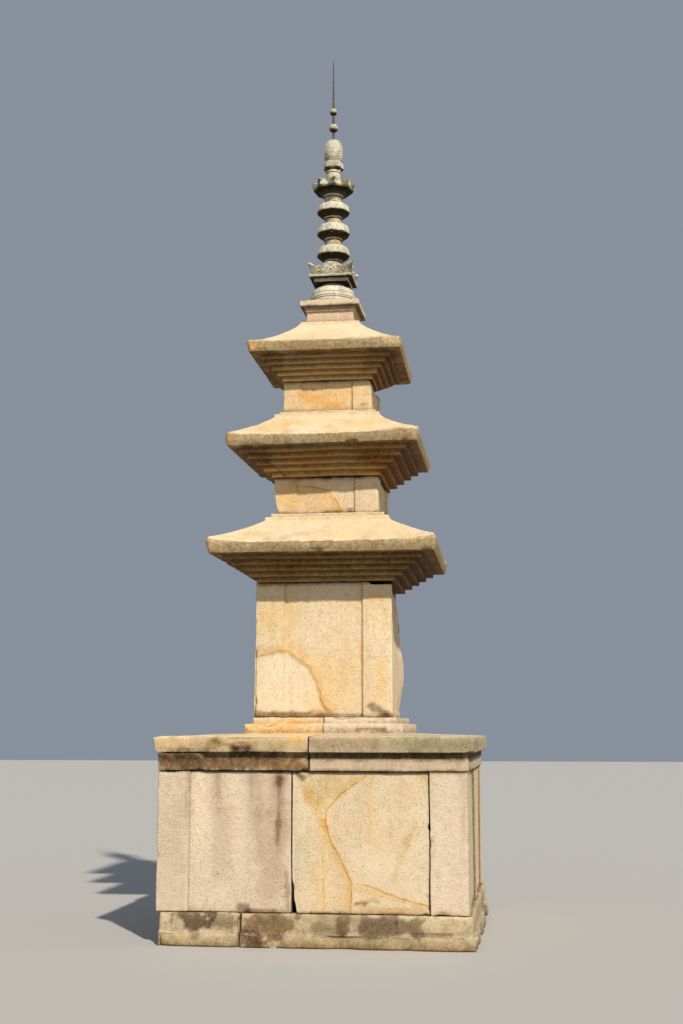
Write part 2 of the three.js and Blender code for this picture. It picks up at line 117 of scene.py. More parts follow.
# Random numbers from 0 to 1 at whole-number places: place and seed multiplied, added, shifted and masked.
def scattered(ix, iy, iz, seed):
    mixed = ix * 374761393 + iy * 668265263 + iz * 2147483029 + seed * 144664987
    mixed = (mixed ^ (mixed >> 13)) * 1274126177
    return ((mixed ^ (mixed >> 16)) & 0xFFFFF) / 0xFFFFF


# Value noise from -1 to 1: the eight lattice numbers round a point, blended by 3t^2 - 2t^3 along each axis.
def noise(points, size, seed):
    place = points / size
    low = np.floor(place).astype(np.int64)
    t = place - low
    t = t * t * (3 - 2 * t)
    total = np.zeros(points.shape[:-1])
    for corner in range(8):
        step = np.array([corner & 1, (corner >> 1) & 1, (corner >> 2) & 1])
        share = np.prod(np.where(step, t, 1 - t), axis=-1)
        ix, iy, iz = np.moveaxis(low + step, -1, 0)
        total += share * scattered(ix, iy, iz, seed)
    return 2 * total - 1


# Cloud: noises added up, each half the size and half the height of the one before.
def cloud(points, size, seed, layers=3):
    total = np.zeros(points.shape[:-1])
    for layer in range(layers):
        total += noise(points, size / 2 ** layer, seed + 31 * layer) / 2 ** layer
    return total


# A ramp from 0 to 1 as x goes from low to high, with the curve 3t^2 - 2t^3.
def ramp(x, low, high):
    t = np.clip((x - low) / (high - low), 0, 1)
    return t * t * (3 - 2 * t)


# Profiles and outlines

edgeReach = 0.028  # how far the wear of an edge reaches into a face


# A profile with rounded corners and short steps. At each inner corner p the curve is
# (1-t)^2 a + 2t(1-t) p + t^2 b, between the points a and b a radius before and after it.
# The second result is 1 on corners that stand out and fades along the profile within `reach`.
def roundedProfile(corners, radius, step, reach=edgeReach):
    corners = np.array(corners, float)
    knots = [corners[0]]
    outer = []
    for before, at, after in zip(corners[:-2], corners[1:-1], corners[2:]):
        back, ahead = before - at, after - at
        backLength, aheadLength = np.hypot(*back[:2]), np.hypot(*ahead[:2])
        near = min(radius, 0.45 * backLength, 0.45 * aheadLength)
        a = at + back * near / backLength
        b = at + ahead * near / aheadLength
        knots += [(1 - t) ** 2 * a + 2 * t * (1 - t) * at + t ** 2 * b for t in (0, 0.25, 0.5, 0.75, 1)]
        if back[1] * ahead[0] - back[0] * ahead[1] > 1e-6:
            outer.append(at[:2])
    knots.append(corners[-1])
    rows = [knots[0][None]]
    for start, end in zip(knots[:-1], knots[1:]):
        count = max(1, int(math.ceil(np.hypot(*(end - start)[:2]) / step)))
        rows.append(start + (end - start) * np.arange(1, count + 1)[:, None] / count)
    path = np.concatenate(rows)
    sharp = np.zeros(len(path))
    for corner in outer:
        sharp = np.maximum(sharp, np.exp(-np.sum((path[:, :2] - corner) ** 2, axis=1) / reach ** 2))
    return path, sharp


# Places along one side, from -length/2 up to but not including length/2, closer together at the corners.
def sidePlaces(length, step, radius, breaks=()):
    close = np.array([0, 0.2, 0.45, 0.7, 1.0, 1.6]) * radius
    middle = np.arange(-length / 2 + 2.4 * radius, length / 2 - 2.4 * radius, step)
    places = np.concatenate([close - length / 2, middle, length / 2 - close[1:], np.array(breaks, float)])
    places = np.unique(np.round(places, 5))
    return places[np.append(True, np.diff(places) > 0.0012)]


# The outline of a rectangle as shares of its width and depth, with each point's side, place and closeness
# to a corner, which is exp(-(distance / edgeReach)^2). coarse widens the step of the front, right, back
# and left.
def rectangleLoop(width, depth, step, radius, breaks=((), (), (), ()), coarse=(1, 1, 1, 1)):
    columns = []
    for side, length in enumerate((width, depth, width, depth)):
        places = sidePlaces(length, step * coarse[side], radius, breaks[side])
        share = places / length + 0.5
        still = np.zeros_like(share)
        u, v = ((share, still), (still + 1, share), (1 - share, still + 1), (still, 1 - share))[side]
        near = np.exp(-((length / 2 - np.abs(places)) / edgeReach) ** 2)
        columns.append(np.stack([u, v, still + side, places, near]))
    return np.concatenate(columns, axis=1)


# Rounds the upright corners of rings about a centre: past the corner's own centre, a point is drawn in
# to the radius, keeping its direction.
def roundUprights(x, y, halfX, halfY, radius):
    dx = np.abs(x) - (halfX - radius)
    dy = np.abs(y) - (halfY - radius)
    inCorner = (dx > 0) & (dy > 0)
    scale = np.where(inCorner, radius / np.maximum(np.hypot(dx, dy), 1e-9), 1)
    newX = np.where(inCorner, np.sign(x) * (halfX - radius + dx * scale), x)
    newY = np.where(inCorner, np.sign(y) * (halfY - radius + dy * scale), y)
    return newX, newY


# A block: the rectangle's outline, moved out by the profile's first number at the height of its second.
# grows says which of the left, right, front and back faces move. The upright corners get the radius.
def blockGrid(box, path, loop, radius, grows=(1, 1, 1, 1), seed=1):
    x0, x1, y0, y1 = box
    u, v = loop[0], loop[1]
    out = path[:, :1]
    left, right = x0 - grows[0] * out, x1 + grows[1] * out
    front, back = y0 - grows[2] * out, y1 + grows[3] * out
    x = left * (1 - u) + right * u
    y = front * (1 - v) + back * v
    z = np.broadcast_to(path[:, 1:2], x.shape)
    middleX, middleY = (left + right) / 2, (front + back) / 2
    rough = radius * (1 + 0.35 * noise(np.stack([x, y, z], -1), 0.11, seed))
    x, y = roundUprights(x - middleX, y - middleY, (right - left) / 2, (back - front) / 2, rough)
    return np.stack([x + middleX, y + middleY, z], -1)


# Outward normals: the cross product of the step round the ring and the step up the profile.
def outward(grid):
    across = np.roll(grid, -1, axis=1) - np.roll(grid, 1, axis=1)
    normal = np.cross(across, np.gradient(grid, axis=0))
    return normal / np.maximum(np.linalg.norm(normal, axis=2, keepdims=True), 1e-9)


# Each point becomes the mean of itself and its neighbours round the ring, then along the profile.
def smoothed(grid, passes=2):
    for _ in range(passes):
        grid = (grid + np.roll(grid, 1, axis=1) + np.roll(grid, -1, axis=1)) / 3
        padded = np.concatenate([grid[:1], grid, grid[-1:]])
        grid = (padded[:-2] + padded[1:-1] + padded[2:]) / 3
    return grid


# Wear: points move in along the normal by swell times a broad cloud, plus dressing times a small one,
# plus chips times the squared edge closeness times the part of a cloud that is above a level, plus rounding
# times the edge closeness.
def worn(grid, edges, wear, seed):
    depth = wear["swell"] * cloud(grid, 0.42, seed, 2) + wear["dressing"] * cloud(grid, 0.05, seed + 5, 3)
    chips = cloud(grid, wear["chipSize"], seed + 9, 3)
    chipped = np.clip(chips - wear.get("chipLevel", 0.45), 0, 1)
    depth += wear["chips"] * edges ** 2 * chipped
    soft = wear["rounding"] * edges * (0.6 + 0.4 * noise(grid, 0.3, seed + 3))
    return grid - outward(smoothed(grid)) * (depth + soft)[..., None]


# Turns points by quarter turns about the upright axis: (x, y) becomes (-y, x) for each.
def quarterTurned(grid, quarters):
    turned = grid
    for _ in range(quarters):
        turned = np.stack([-turned[..., 1], turned[..., 0], turned[..., 2]], -1)
    return turned


# Distance from points (x, z) to a polyline: the least over its stretches of |p - nearest point on it|.
def distanceToLine(x, z, line):
    points = np.stack([x, z], -1)[..., None, :]
    start, end = np.array(line[:-1]), np.array(line[1:])
    run = end - start
    share = np.clip(np.sum((points - start) * run, -1) / np.sum(run * run, -1), 0, 1)
    return np.min(np.linalg.norm(points - start - share[..., None] * run, axis=-1), axis=-1)


# Meshes

# Puts a grid of rows and columns into a mesh. Four neighbours make a face and the columns close up.
# The first and last rows are closed by triangles to their middle, or joined to each other when bored.
def skinMesh(name, grid, marks, bored=False):
    rows, columns = grid.shape[:2]
    index = np.arange(rows * columns).reshape(rows, columns)
    beside = np.roll(index, -1, axis=1)
    lower, upper = (index, np.roll(index, -1, axis=0)) if bored else (index[:-1], index[1:])
    lowerNext, upperNext = (beside, np.roll(beside, -1, axis=0)) if bored else (beside[:-1], beside[1:])
    quads = np.stack([lower, lowerNext, upperNext, upper], -1).reshape(-1, 4)
    points = grid.reshape(-1, 3)
    fans = np.zeros((0, 3), int)
    if not bored:
        ends = np.array([grid[0].mean(axis=0), grid[-1].mean(axis=0)])
        points = np.concatenate([points, ends])
        middle = np.full(columns, rows * columns)
        bottom = np.stack([beside[0], index[0], middle], -1)
        top = np.stack([index[-1], beside[-1], middle + 1], -1)
        fans = np.concatenate([bottom, top])
    mesh = bpy.data.meshes.new(name)
    mesh.vertices.add(len(points))
    mesh.vertices.foreach_set("co", points.astype(np.float32).ravel())
    mesh.loops.add(quads.size + fans.size)
    mesh.polygons.add(len(quads) + len(fans))
    starts = np.concatenate([np.arange(len(quads)) * 4, quads.size + np.arange(len(fans)) * 3])
    mesh.polygons.foreach_set("loop_start", starts)
    mesh.polygons.foreach_set("vertices", np.concatenate([quads.ravel(), fans.ravel()]))
    mesh.polygons.foreach_set("use_smooth", np.ones(len(quads) + len(fans), bool))
    mesh.update(calc_edges=True)
    for mark, values in marks.items():
        addMark(mesh, mark, values, grid.shape[:2])
    return mesh


# Stores a number, or a colour for the tint, at every point of the grid and then at the spare end points.
def addMark(mesh, mark, values, shape):
    coloured = mark == "tint"
    width = 3 if coloured else 1
    values = np.asarray(values, float)
    flat = np.broadcast_to(values, shape + (3,) if coloured else shape).reshape(-1, width)
    spare = len(mesh.vertices) - len(flat)
    flat = np.concatenate([flat, np.repeat(flat[-1:], spare, axis=0)])
    if coloured:
        flat = np.concatenate([flat, np.ones((len(flat), 1))], axis=1)
    layer = mesh.attributes.new(mark, "FLOAT_COLOR" if coloured else "FLOAT", "POINT")
    layer.data.foreach_set("color" if coloured else "value", flat.astype(np.float32).ravel())


# Colour of stains and patches at each point, as multipliers of the stone's own colour. A spot covers 1 -
# (|(x - x0) / rx|^3 + |(z - z0) / rz|^3)^(1/3), a streak exp(-((x - x0) / half)^2) fading downwards, a
# line the points nearer to it than its half width, a fade exp(-distance / reach) to the left of its line.
# Noise frays each. Only points in front of `reach` are painted.
def painted(grid, patches, seed, reach, soft=0.55):
    x, z = grid[..., 0], grid[..., 2]
    frayed = cloud(grid, 0.075, seed, 4)
    sway = 0.02 * cloud(grid, 0.17, seed + 1, 2)
    onFace = grid[..., 1] < reach
    tint = np.ones(grid.shape)
    for kind, place, colour, strength in patches:
        if kind == "spot":
            x0, z0, rx, rz = place
            away = (np.abs((x - x0) / rx) ** 3 + np.abs((z - z0) / rz) ** 3) ** (1 / 3)
            mask = ramp(1 - away + 0.42 * frayed, 0.0, soft)
        elif kind == "streak":
            x0, half, low, high = place
            run = np.exp(-((x + sway - x0) / half) ** 2) * ramp(z + 4 * sway, low, high)
            mask = run * (0.85 + 0.25 * frayed)
        elif kind == "fade":
            line, fadeReach = place
            lineZ, lineX = np.array(sorted((z0, x0) for x0, z0 in line)).T
            left = np.interp(z, lineZ, lineX) - x + 0.1 * sway
            inRange = ramp(z, lineZ[0] - 0.03, lineZ[0]) * ramp(z, lineZ[-1] + 0.03, lineZ[-1])
            faded = np.exp(-np.clip(left, 0, None) / fadeReach) * ramp(left, -0.006, 0.0)
            mask = faded * inRange * (1 + 0.3 * frayed)
        else:
            points, half = place
            inside = half - distanceToLine(x, z, points) + 0.45 * half * frayed
            mask = ramp(inside, 0.0, 0.8 * half)
        share = strength * np.clip(mask, 0, 1) * onFace
        tint *= 1 + (np.array(colour) - 1) * share[..., None]
    return tint


plainMarks = {
    "vein": 1.0, "branch": 1.0, "spall": -1.0, "stain": 0.0, "rust": 0.0, "grime": 0.0, "tint": 1.0,
}


# Makes a stone that stands for a solid. marks are numbers from 0 to 1 at each point, or distances.
def stone(node, grid, material, slot, edges=0.0, bored=False, **marks):
    mesh = skinMesh("stone_" + node, grid, {"edge": edges, **plainMarks, **marks}, bored)
    mesh.materials.append(material)
    piece = bpy.data.objects.new("stone_" + node, mesh)
    bpy.context.scene.collection.objects.link(piece)
    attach(piece, "root")
    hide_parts(node)


# Materials

class Shader:
    # A short way to lay out a material: each call adds a node, sets its values and links what it is given.
    def __init__(self, name):
        self.material = bpy.data.materials.new(name)
        self.material.use_nodes = True
        self.tree = self.material.node_tree
        self.surface = self.tree.nodes["Principled BSDF"]
        self.place = self.node("ShaderNodeTexCoord").outputs["Object"]

    def node(self, kind, inputs=None, **settings):
        made = self.tree.nodes.new(kind)
        for key, value in settings.items():
            setattr(made, key, value)
        for key, value in (inputs or {}).items():
            self.put(made.inputs[key], value)
        return made

    def put(self, socket, value):
        if isinstance(value, bpy.types.NodeSocket):
            self.tree.links.new(value, socket)
        elif isinstance(value, tuple) and socket.type == "RGBA":
            socket.default_value = (*value, 1)
        else:
            socket.default_value = value

    def noise(self, scale, detail=3.0, rough=0.55, stretch=None, wobble=0.0):
        place = self.place
        if stretch:
            place = self.node("ShaderNodeMapping", {"Vector": place, "Scale": stretch}).outputs[0]
        values = {
            "Vector": place, "Scale": scale, "Detail": detail, "Roughness": rough, "Distortion": wobble,
        }
        return self.node("ShaderNodeTexNoise", values).outputs["Fac"]

    def cells(self, scale, feature="F1"):
        made = self.node("ShaderNodeTexVoronoi", {"Vector": self.place, "Scale": scale}, feature=feature)
        return made.outputs["Distance"]

    def mark(self, name):
        return self.node("ShaderNodeAttribute", attribute_name=name).outputs["Fac"]

    def step(self, value, low, high, start=0.0, end=1.0):
        values = {"Value": value, "From Min": low, "From Max": high, "To Min": start, "To Max": end}
        return self.node("ShaderNodeMapRange", values, interpolation_type="SMOOTHSTEP").outputs["Result"]

    def sum(self, a, b, operation="MULTIPLY"):
        return self.node("ShaderNodeMath", {0: a, 1: b}, operation=operation).outputs[0]

    def mix(self, share, a, b, blend="MIX"):
        made = self.node("ShaderNodeMix", data_type="RGBA", blend_type=blend)
        self.put(made.inputs[0], share)
        self.put(made.inputs[6], a)
        self.put(made.inputs[7], b)
        return made.outputs[2]

    def bump(self, height, distance, below=None):
        values = {"Height": height, "Distance": distance, "Strength": 1.0}
        if below is not None:
            values["Normal"] = below
        return self.node("ShaderNodeBump", values).outputs["Normal"]

    def shelter(self, reach):
        # 1 in the open, less where other stone stands close
        return self.node("ShaderNodeAmbientOcclusion", {"Distance": reach}, samples=6).outputs["AO"]

    def facing(self):
        normal = self.node("ShaderNodeNewGeometry").outputs["Normal"]
        return self.node("ShaderNodeSeparateXYZ", {0: normal}).outputs["Z"]


# Granite: pale grain and dark mica over a mottled ground, then rust, veins, stains, dirt and worn edges,
# with painted shade in corners and on undersides.
def graniteMaterial(name, look):
    s = Shader(name)
    ground = s.mix(s.step(s.noise(2.3, 5, 0.6), 0.36, 0.64), look["base"], look["warm"])
    ground = s.mix(s.step(s.noise(21, 6, 0.75), 0.44, 0.70, 0, look["mottle"]), ground, look["dark"])
    ground = s.mix(s.step(s.cells(150), 0.08, 0.40, look["grain"], 0), ground, look["crystal"])
    ground = s.mix(s.step(s.noise(105, 4, 0.75), 0.50, 0.72, 0, look["speckle"]), ground, look["mica"])
    ground = s.mix(s.step(s.noise(260, 2, 0.5), 0.60, 0.70, 0, 0.35), ground, look["mica"])
    tooled = s.noise(48, 4, 0.65, stretch=look["tooling"])
    ground = s.mix(s.step(tooled, 0.50, 0.68, 0, look["dashes"]), ground, look["dark"])
    # pale fresh stone inside a spall, rusty patches
    ground = s.mix(s.step(s.mark("spall"), -0.004, 0.004, 0, 0.40), ground, look["fresh"])
    rusty = s.sum(s.mark("rust"), s.step(s.noise(5.5, 5, 0.65, wobble=0.4), 0.34, 0.66))
    ground = s.mix(rusty, ground, look["rust"])
    # veins of iron: a wide halo, a soft band and a thin core, frayed by noise
    fromVein = s.sum(s.mark("vein"), 0.0, "ABSOLUTE")
    fromBranch = s.sum(s.mark("branch"), 0.0, "ABSOLUTE")
    nearest = s.sum(fromVein, fromBranch, "MINIMUM")
    wander = s.sum(s.step(s.noise(22, 6, 0.7), 0.0, 1.0, -0.007, 0.007), nearest, "ADD")
    ground = s.mix(s.step(wander, 0.006, 0.045, 0.25, 0), ground, look["halo"])
    ground = s.mix(s.step(wander, 0.001, 0.011, 0.62, 0), ground, look["vein"])
    ground = s.mix(s.step(wander, 0.000, 0.004, 0.50, 0), ground, look["veinCore"])
    # rain dirt in upright streaks, black crust where the stone is marked
    streaks = s.step(s.noise(9, 4, 0.6, stretch=(1, 1, 0.12)), 0.46, 0.72, 0, look["streaks"])
    ground = s.mix(streaks, ground, look["dirt"])
    crust = s.step(s.sum(s.mark("stain"), s.noise(7, 6, 0.75), "ADD"), 0.72, 1.12, 0, 0.85)
    ground = s.mix(crust, ground, look["crust"])
    # painted stains, broken up by the grain, then the grey of weathered edges and painted shade on
    # undersides
    broken = s.step(s.noise(34, 7, 0.8), 0.34, 0.56, look["breakup"], 1.0)
    painting = s.node("ShaderNodeAttribute", attribute_name="tint").outputs["Color"]
    ground = s.mix(broken, ground, painting, "MULTIPLY")
    # grime, together with painted shade under the wheels' rims and the canopy's lip
    patchy = s.step(s.noise(36, 8, 0.85), 0.35, 0.60, 1.08, 0.55)
    ground = s.mix(s.sum(s.mark("grime"), patchy), ground, look["grime"], "MULTIPLY")
    lichen = s.step(s.noise(19, 7, 0.8, wobble=0.6), look["lichenFrom"], look["lichenFrom"] + 0.04, 0, 0.7)
    ground = s.mix(lichen, ground, look["lichen"])
    edge = s.sum(s.mark("edge"), s.step(s.noise(20, 5, 0.7), 0.40, 0.62, 0, 0.5))
    ground = s.mix(edge, ground, look["crystal"])
    # painted shade: surfaces that face down are darkened towards the underside colour
    under = s.step(s.facing(), look["underFrom"], look["underFrom"] - 0.5, 0, look["under"])
    ground = s.mix(under, ground, look["underside"], "MULTIPLY")
    # open pits, and painted shade with some dirt where other stone stands close
    pits = s.sum(s.step(s.cells(24), 0.13, 0.07, 0, 0.55), s.step(s.noise(5, 3), 0.48, 0.58))
    ground = s.mix(pits, ground, look["pit"])
    sheltered = s.sum(s.shelter(0.085), s.step(s.noise(26, 6, 0.75), 0.30, 0.70, -0.16, 0.12), "ADD")
    ground = s.mix(s.step(sheltered, 0.28, 0.90, look["creviced"], 0), ground, look["crevice"], "MULTIPLY")
    s.put(s.surface.inputs["Base Color"], ground)
    s.put(s.surface.inputs["Roughness"], s.step(s.noise(40, 3), 0.2, 0.8, 0.84, 0.97))
    s.surface.inputs["Specular IOR Level"].default_value = 0.2
    # relief: faint hollows, tool marks, open pits and the sugar of the grain
    normal = s.bump(s.noise(8, 5, 0.6), 0.004)
    normal = s.bump(tooled, look["pecks"], normal)
    normal = s.bump(s.step(s.noise(105, 3, 0.7), 0.70, 0.58), look["pits"], normal)
    normal = s.bump(s.step(s.cells(24), 0.06, 0.15), 0.002, normal)
    normal = s.bump(s.noise(260, 2, 0.6), 0.0006, normal)
    s.put(s.surface.inputs["Normal"], normal)
    return s.material


creamLook = {
    "base": (0.79, 0.65, 0.44), "warm": (0.77, 0.60, 0.37), "dark": (0.60, 0.46, 0.28), "mottle": 0.50,
    "crystal": (0.87, 0.77, 0.58), "grain": 0.40, "mica": (0.28, 0.21, 0.14), "speckle": 0.42,
    "dashes": 0.34, "fresh": (0.84, 0.73, 0.53), "rust": (0.68, 0.38, 0.13), "halo": (0.80, 0.59, 0.28),
    "vein": (0.62, 0.38, 0.14), "veinCore": (0.36, 0.21, 0.09), "streaks": 0.16,
    "dirt": (0.36, 0.27, 0.17), "crust": (0.12, 0.09, 0.06), "breakup": 0.80, "grime": (0.37, 0.32, 0.22),
    "under": 0.8, "underFrom": -0.35, "underside": (0.58, 0.49, 0.36), "lichenFrom": 0.74,
    "lichen": (0.46, 0.45, 0.36), "pit": (0.26, 0.17, 0.08), "creviced": 0.9,
    "crevice": (0.34, 0.26, 0.15), "pecks": 0.0030, "pits": 0.002, "tooling": (1, 1, 1),
}
pinkLook = {
    **creamLook, "base": (0.70, 0.575, 0.425), "warm": (0.67, 0.55, 0.40), "dark": (0.50, 0.39, 0.28),
    "mottle": 0.45, "crystal": (0.80, 0.70, 0.56), "rust": (0.50, 0.32, 0.16), "dashes": 0.45,
    "tooling": (0.6, 0.6, 2.6),
}
tooledLook = {**pinkLook, "dark": (0.42, 0.33, 0.24), "dashes": 0.75, "tooling": (2.4, 2.4, 0.7)}
stainedLook = {
    **creamLook, "base": (0.56, 0.45, 0.29), "warm": (0.47, 0.37, 0.23), "dark": (0.29, 0.22, 0.14),
    "mottle": 0.8, "crystal": (0.68, 0.58, 0.43), "crust": (0.12, 0.09, 0.07), "lichenFrom": 0.66,
    "lichen": (0.68, 0.60, 0.47), "pecks": 0.005,
}
finialLook = {
    **creamLook, "base": (0.75, 0.70, 0.54), "warm": (0.68, 0.61, 0.45), "dark": (0.30, 0.27, 0.19),
    "mottle": 0.75, "crystal": (0.86, 0.82, 0.68), "dirt": (0.13, 0.11, 0.07), "streaks": 0.30,
    "lichenFrom": 0.62, "lichen": (0.68, 0.66, 0.54), "under": 1.0, "underFrom": -0.1,
    "underside": (0.085, 0.072, 0.032), "pecks": 0.003, "pits": 0.002, "creviced": 1.0,
    "crevice": (0.24, 0.20, 0.13), "grime": (0.28, 0.26, 0.15),
}


def ironMaterial():
    s = Shader("weatheredIron")
    flakes = s.step(s.noise(60, 4, 0.7), 0.45, 0.62)
    s.put(s.surface.inputs["Base Color"], s.mix(flakes, (0.09, 0.085, 0.075), (0.16, 0.11, 0.075)))
    s.surface.inputs["Metallic"].default_value = 0.6
    s.put(s.surface.inputs["Roughness"], s.step(s.noise(90, 3), 0.3, 0.7, 0.5, 0.85))
    s.put(s.surface.inputs["Normal"], s.bump(s.noise(140, 3, 0.6), 0.001))
    return s.material


print("camera, light and floor")
makeCamera()
makeLight()
makeFloor()

print("materials")
cream = graniteMaterial("creamGranite", creamLook)
pink = graniteMaterial("pinkGranite", pinkLook)
tooledPink = graniteMaterial("tooledGranite", tooledLook)
stained = graniteMaterial("stainedGranite", stainedLook)
finialGrey = graniteMaterial("finialGranite", finialLook)
iron = ironMaterial()


# Plinth course

plinth = {
    "ledge": 0.030, "ledgeTop": 0.095, "top": 0.225, "step": 0.015, "rounding": 0.012,
    "wear": {"swell": 0.004, "dressing": 0.003, "chips": 0.034, "chipSize": 0.16, "rounding": 0.004},
    "roughness": 0.022,  # how far the undressed ledge wanders
}
plum, brown, ashen, pale = (0.25, 0.18, 0.14), (0.36, 0.28, 0.21), (0.62, 0.64, 0.50), (1.25, 1.24, 1.2)
plinthPatches = {
    "plinth_front_left": [
        ("spot", (-0.80, 0.158, 0.155, 0.075), plum, 0.95), ("spot", (-0.79, 0.085, 0.06, 0.04), plum, 0.6),
        ("spot", (-0.59, 0.165, 0.13, 0.06), brown, 0.75), ("spot", (-1.01, 0.16, 0.08, 0.09), pale, 0.8),
        ("spot", (-0.75, 0.03, 0.5, 0.05), (0.92, 0.84, 0.68), 0.8),
    ],
    "plinth_front_right": [
        ("spot", (0.02, 0.12, 0.55, 0.20), (0.86, 0.85, 0.82), 1.0),
        ("spot", (-0.32, 0.15, 0.22, 0.11), (0.44, 0.34, 0.25), 0.95),
        ("spot", (-0.42, 0.06, 0.10, 0.06), brown, 0.8), ("spot", (-0.05, 0.17, 0.10, 0.07), pale, 0.8),
        ("spot", (0.10, 0.125, 0.13, 0.055), ashen, 0.9), ("spot", (0.235, 0.15, 0.06, 0.06), brown, 0.8),
        ("spot", (0.47, 0.15, 0.13, 0.075), plum, 0.75), ("spot", (0.69, 0.15, 0.10, 0.065), brown, 0.8),
        ("line", ([(0.70, 0.103), (0.98, 0.106)], 0.016), plum, 0.7),
        ("spot", (0.95, 0.17, 0.2, 0.07), pale, 0.8),
        ("spot", (0.4, 0.03, 0.9, 0.05), (0.94, 0.88, 0.72), 0.8),
        ("line", ([(0.30, 0.215), (1.1, 0.218)], 0.012), pale, 0.8),
    ],
}


# A kerb stone, dressed above its ledge. Below ledgeTop the outer faces move in by roughness * cloud.
def makePlinthStone(node, grows, seed):
    start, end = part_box(node)
    x0, x1, y0, y1 = start.x, end.x, start.y, end.y
    ledge, top, ledgeTop = plinth["ledge"], plinth["top"], plinth["ledgeTop"]
    inner = (x0 + grows[0] * ledge, x1 - grows[1] * ledge, y0 + grows[2] * ledge, y1 - grows[3] * ledge)
    corners = [(ledge, 0.0), (ledge, ledgeTop), (0.0, ledgeTop + 0.004), (0.0, top), (-0.06, top)]
    path, sharp = roundedProfile(corners, plinth["rounding"], plinth["step"])
    coarse = [1 if grows[face] else 4 for face in (2, 1, 3, 0)]
    loop = rectangleLoop(inner[1] - inner[0], inner[3] - inner[2], plinth["step"], 0.02, coarse=coarse)
    grid = blockGrid(inner, path, loop, 0.02, grows, seed)
    low = ramp(grid[..., 2], ledgeTop + 0.01, ledgeTop - 0.02)
    rough = plinth["roughness"] * low * np.clip(cloud(grid, 0.22, seed + 2, 4) + 0.35, 0, 1.4)
    outer = np.where((loop[2] == 0) & (grows[2] > 0) | (loop[2] == 1) & (grows[1] > 0)
                     | (loop[2] == 2) & (grows[3] > 0) | (loop[2] == 3) & (grows[0] > 0), 1.0, 0.0)
    grid = grid - outward(grid) * (rough * outer)[..., None]
    edges = np.maximum(sharp[:, None], loop[4][None])
    grid = worn(grid, edges, plinth["wear"], seed)
    grid[..., 2] = np.clip(grid[..., 2], 0.0, top)
    patches = plinthPatches.get(node)
    stain = np.clip((0.10 if patches else 0.26) + 0.20 * cloud(grid, 0.5, seed + 7, 2) + 0.05 * low, 0, 1)
    tint = painted(grid, patches or [], seed + 8, -1.0, soft=0.22)
    stone(node, grid, stained, "granite_stained", edges * 0.6, stain=stain, tint=tint)


print("plinth course")
for number, (node, grows) in enumerate({
    "plinth_front_left": (0, 0, 1, 0), "plinth_front_right": (0, 1, 1, 0), "plinth_right": (0, 1, 0, 0),
    "plinth_back_right": (0, 1, 0, 1), "plinth_back_left": (1, 0, 0, 1), "plinth_left": (1, 0, 0, 0),
}.items()):
    makePlinthStone(node, grows, 100 + 17 * number)


# Base wall

wall = {
    "half": 1.095, "bottom": 0.225, "top": 1.190, "relief": 0.016, "step": 0.0137,
    "sideShadeTint": (1.0, 0.95, 0.87), "cornerWidth": 0.234, "pillarHalf": 0.120, "rounding": 0.007,
    "coarse": (1, 2, 6, 2), "bevel": 0.004,
    "wear": {"swell": 0.003, "dressing": 0.0012, "chips": 0.020, "chipSize": 0.10, "rounding": 0.002},
}
veins = {
    # across the front right slab, as (x, z)
    "down": [(0.389, 1.158), (0.284, 1.082), (0.214, 1.034), (0.172, 0.993), (0.115, 0.924), (0.109, 0.856),
             (0.130, 0.755), (0.186, 0.641), (0.242, 0.541), (0.283, 0.441), (0.276, 0.241)],
    "across": [(0.283, 0.427), (0.401, 0.409), (0.525, 0.358), (0.635, 0.333), (0.833, 0.283)],
}


underMoulding = (0.22, 0.17, 0.12)  # the shade at the top of the slabs
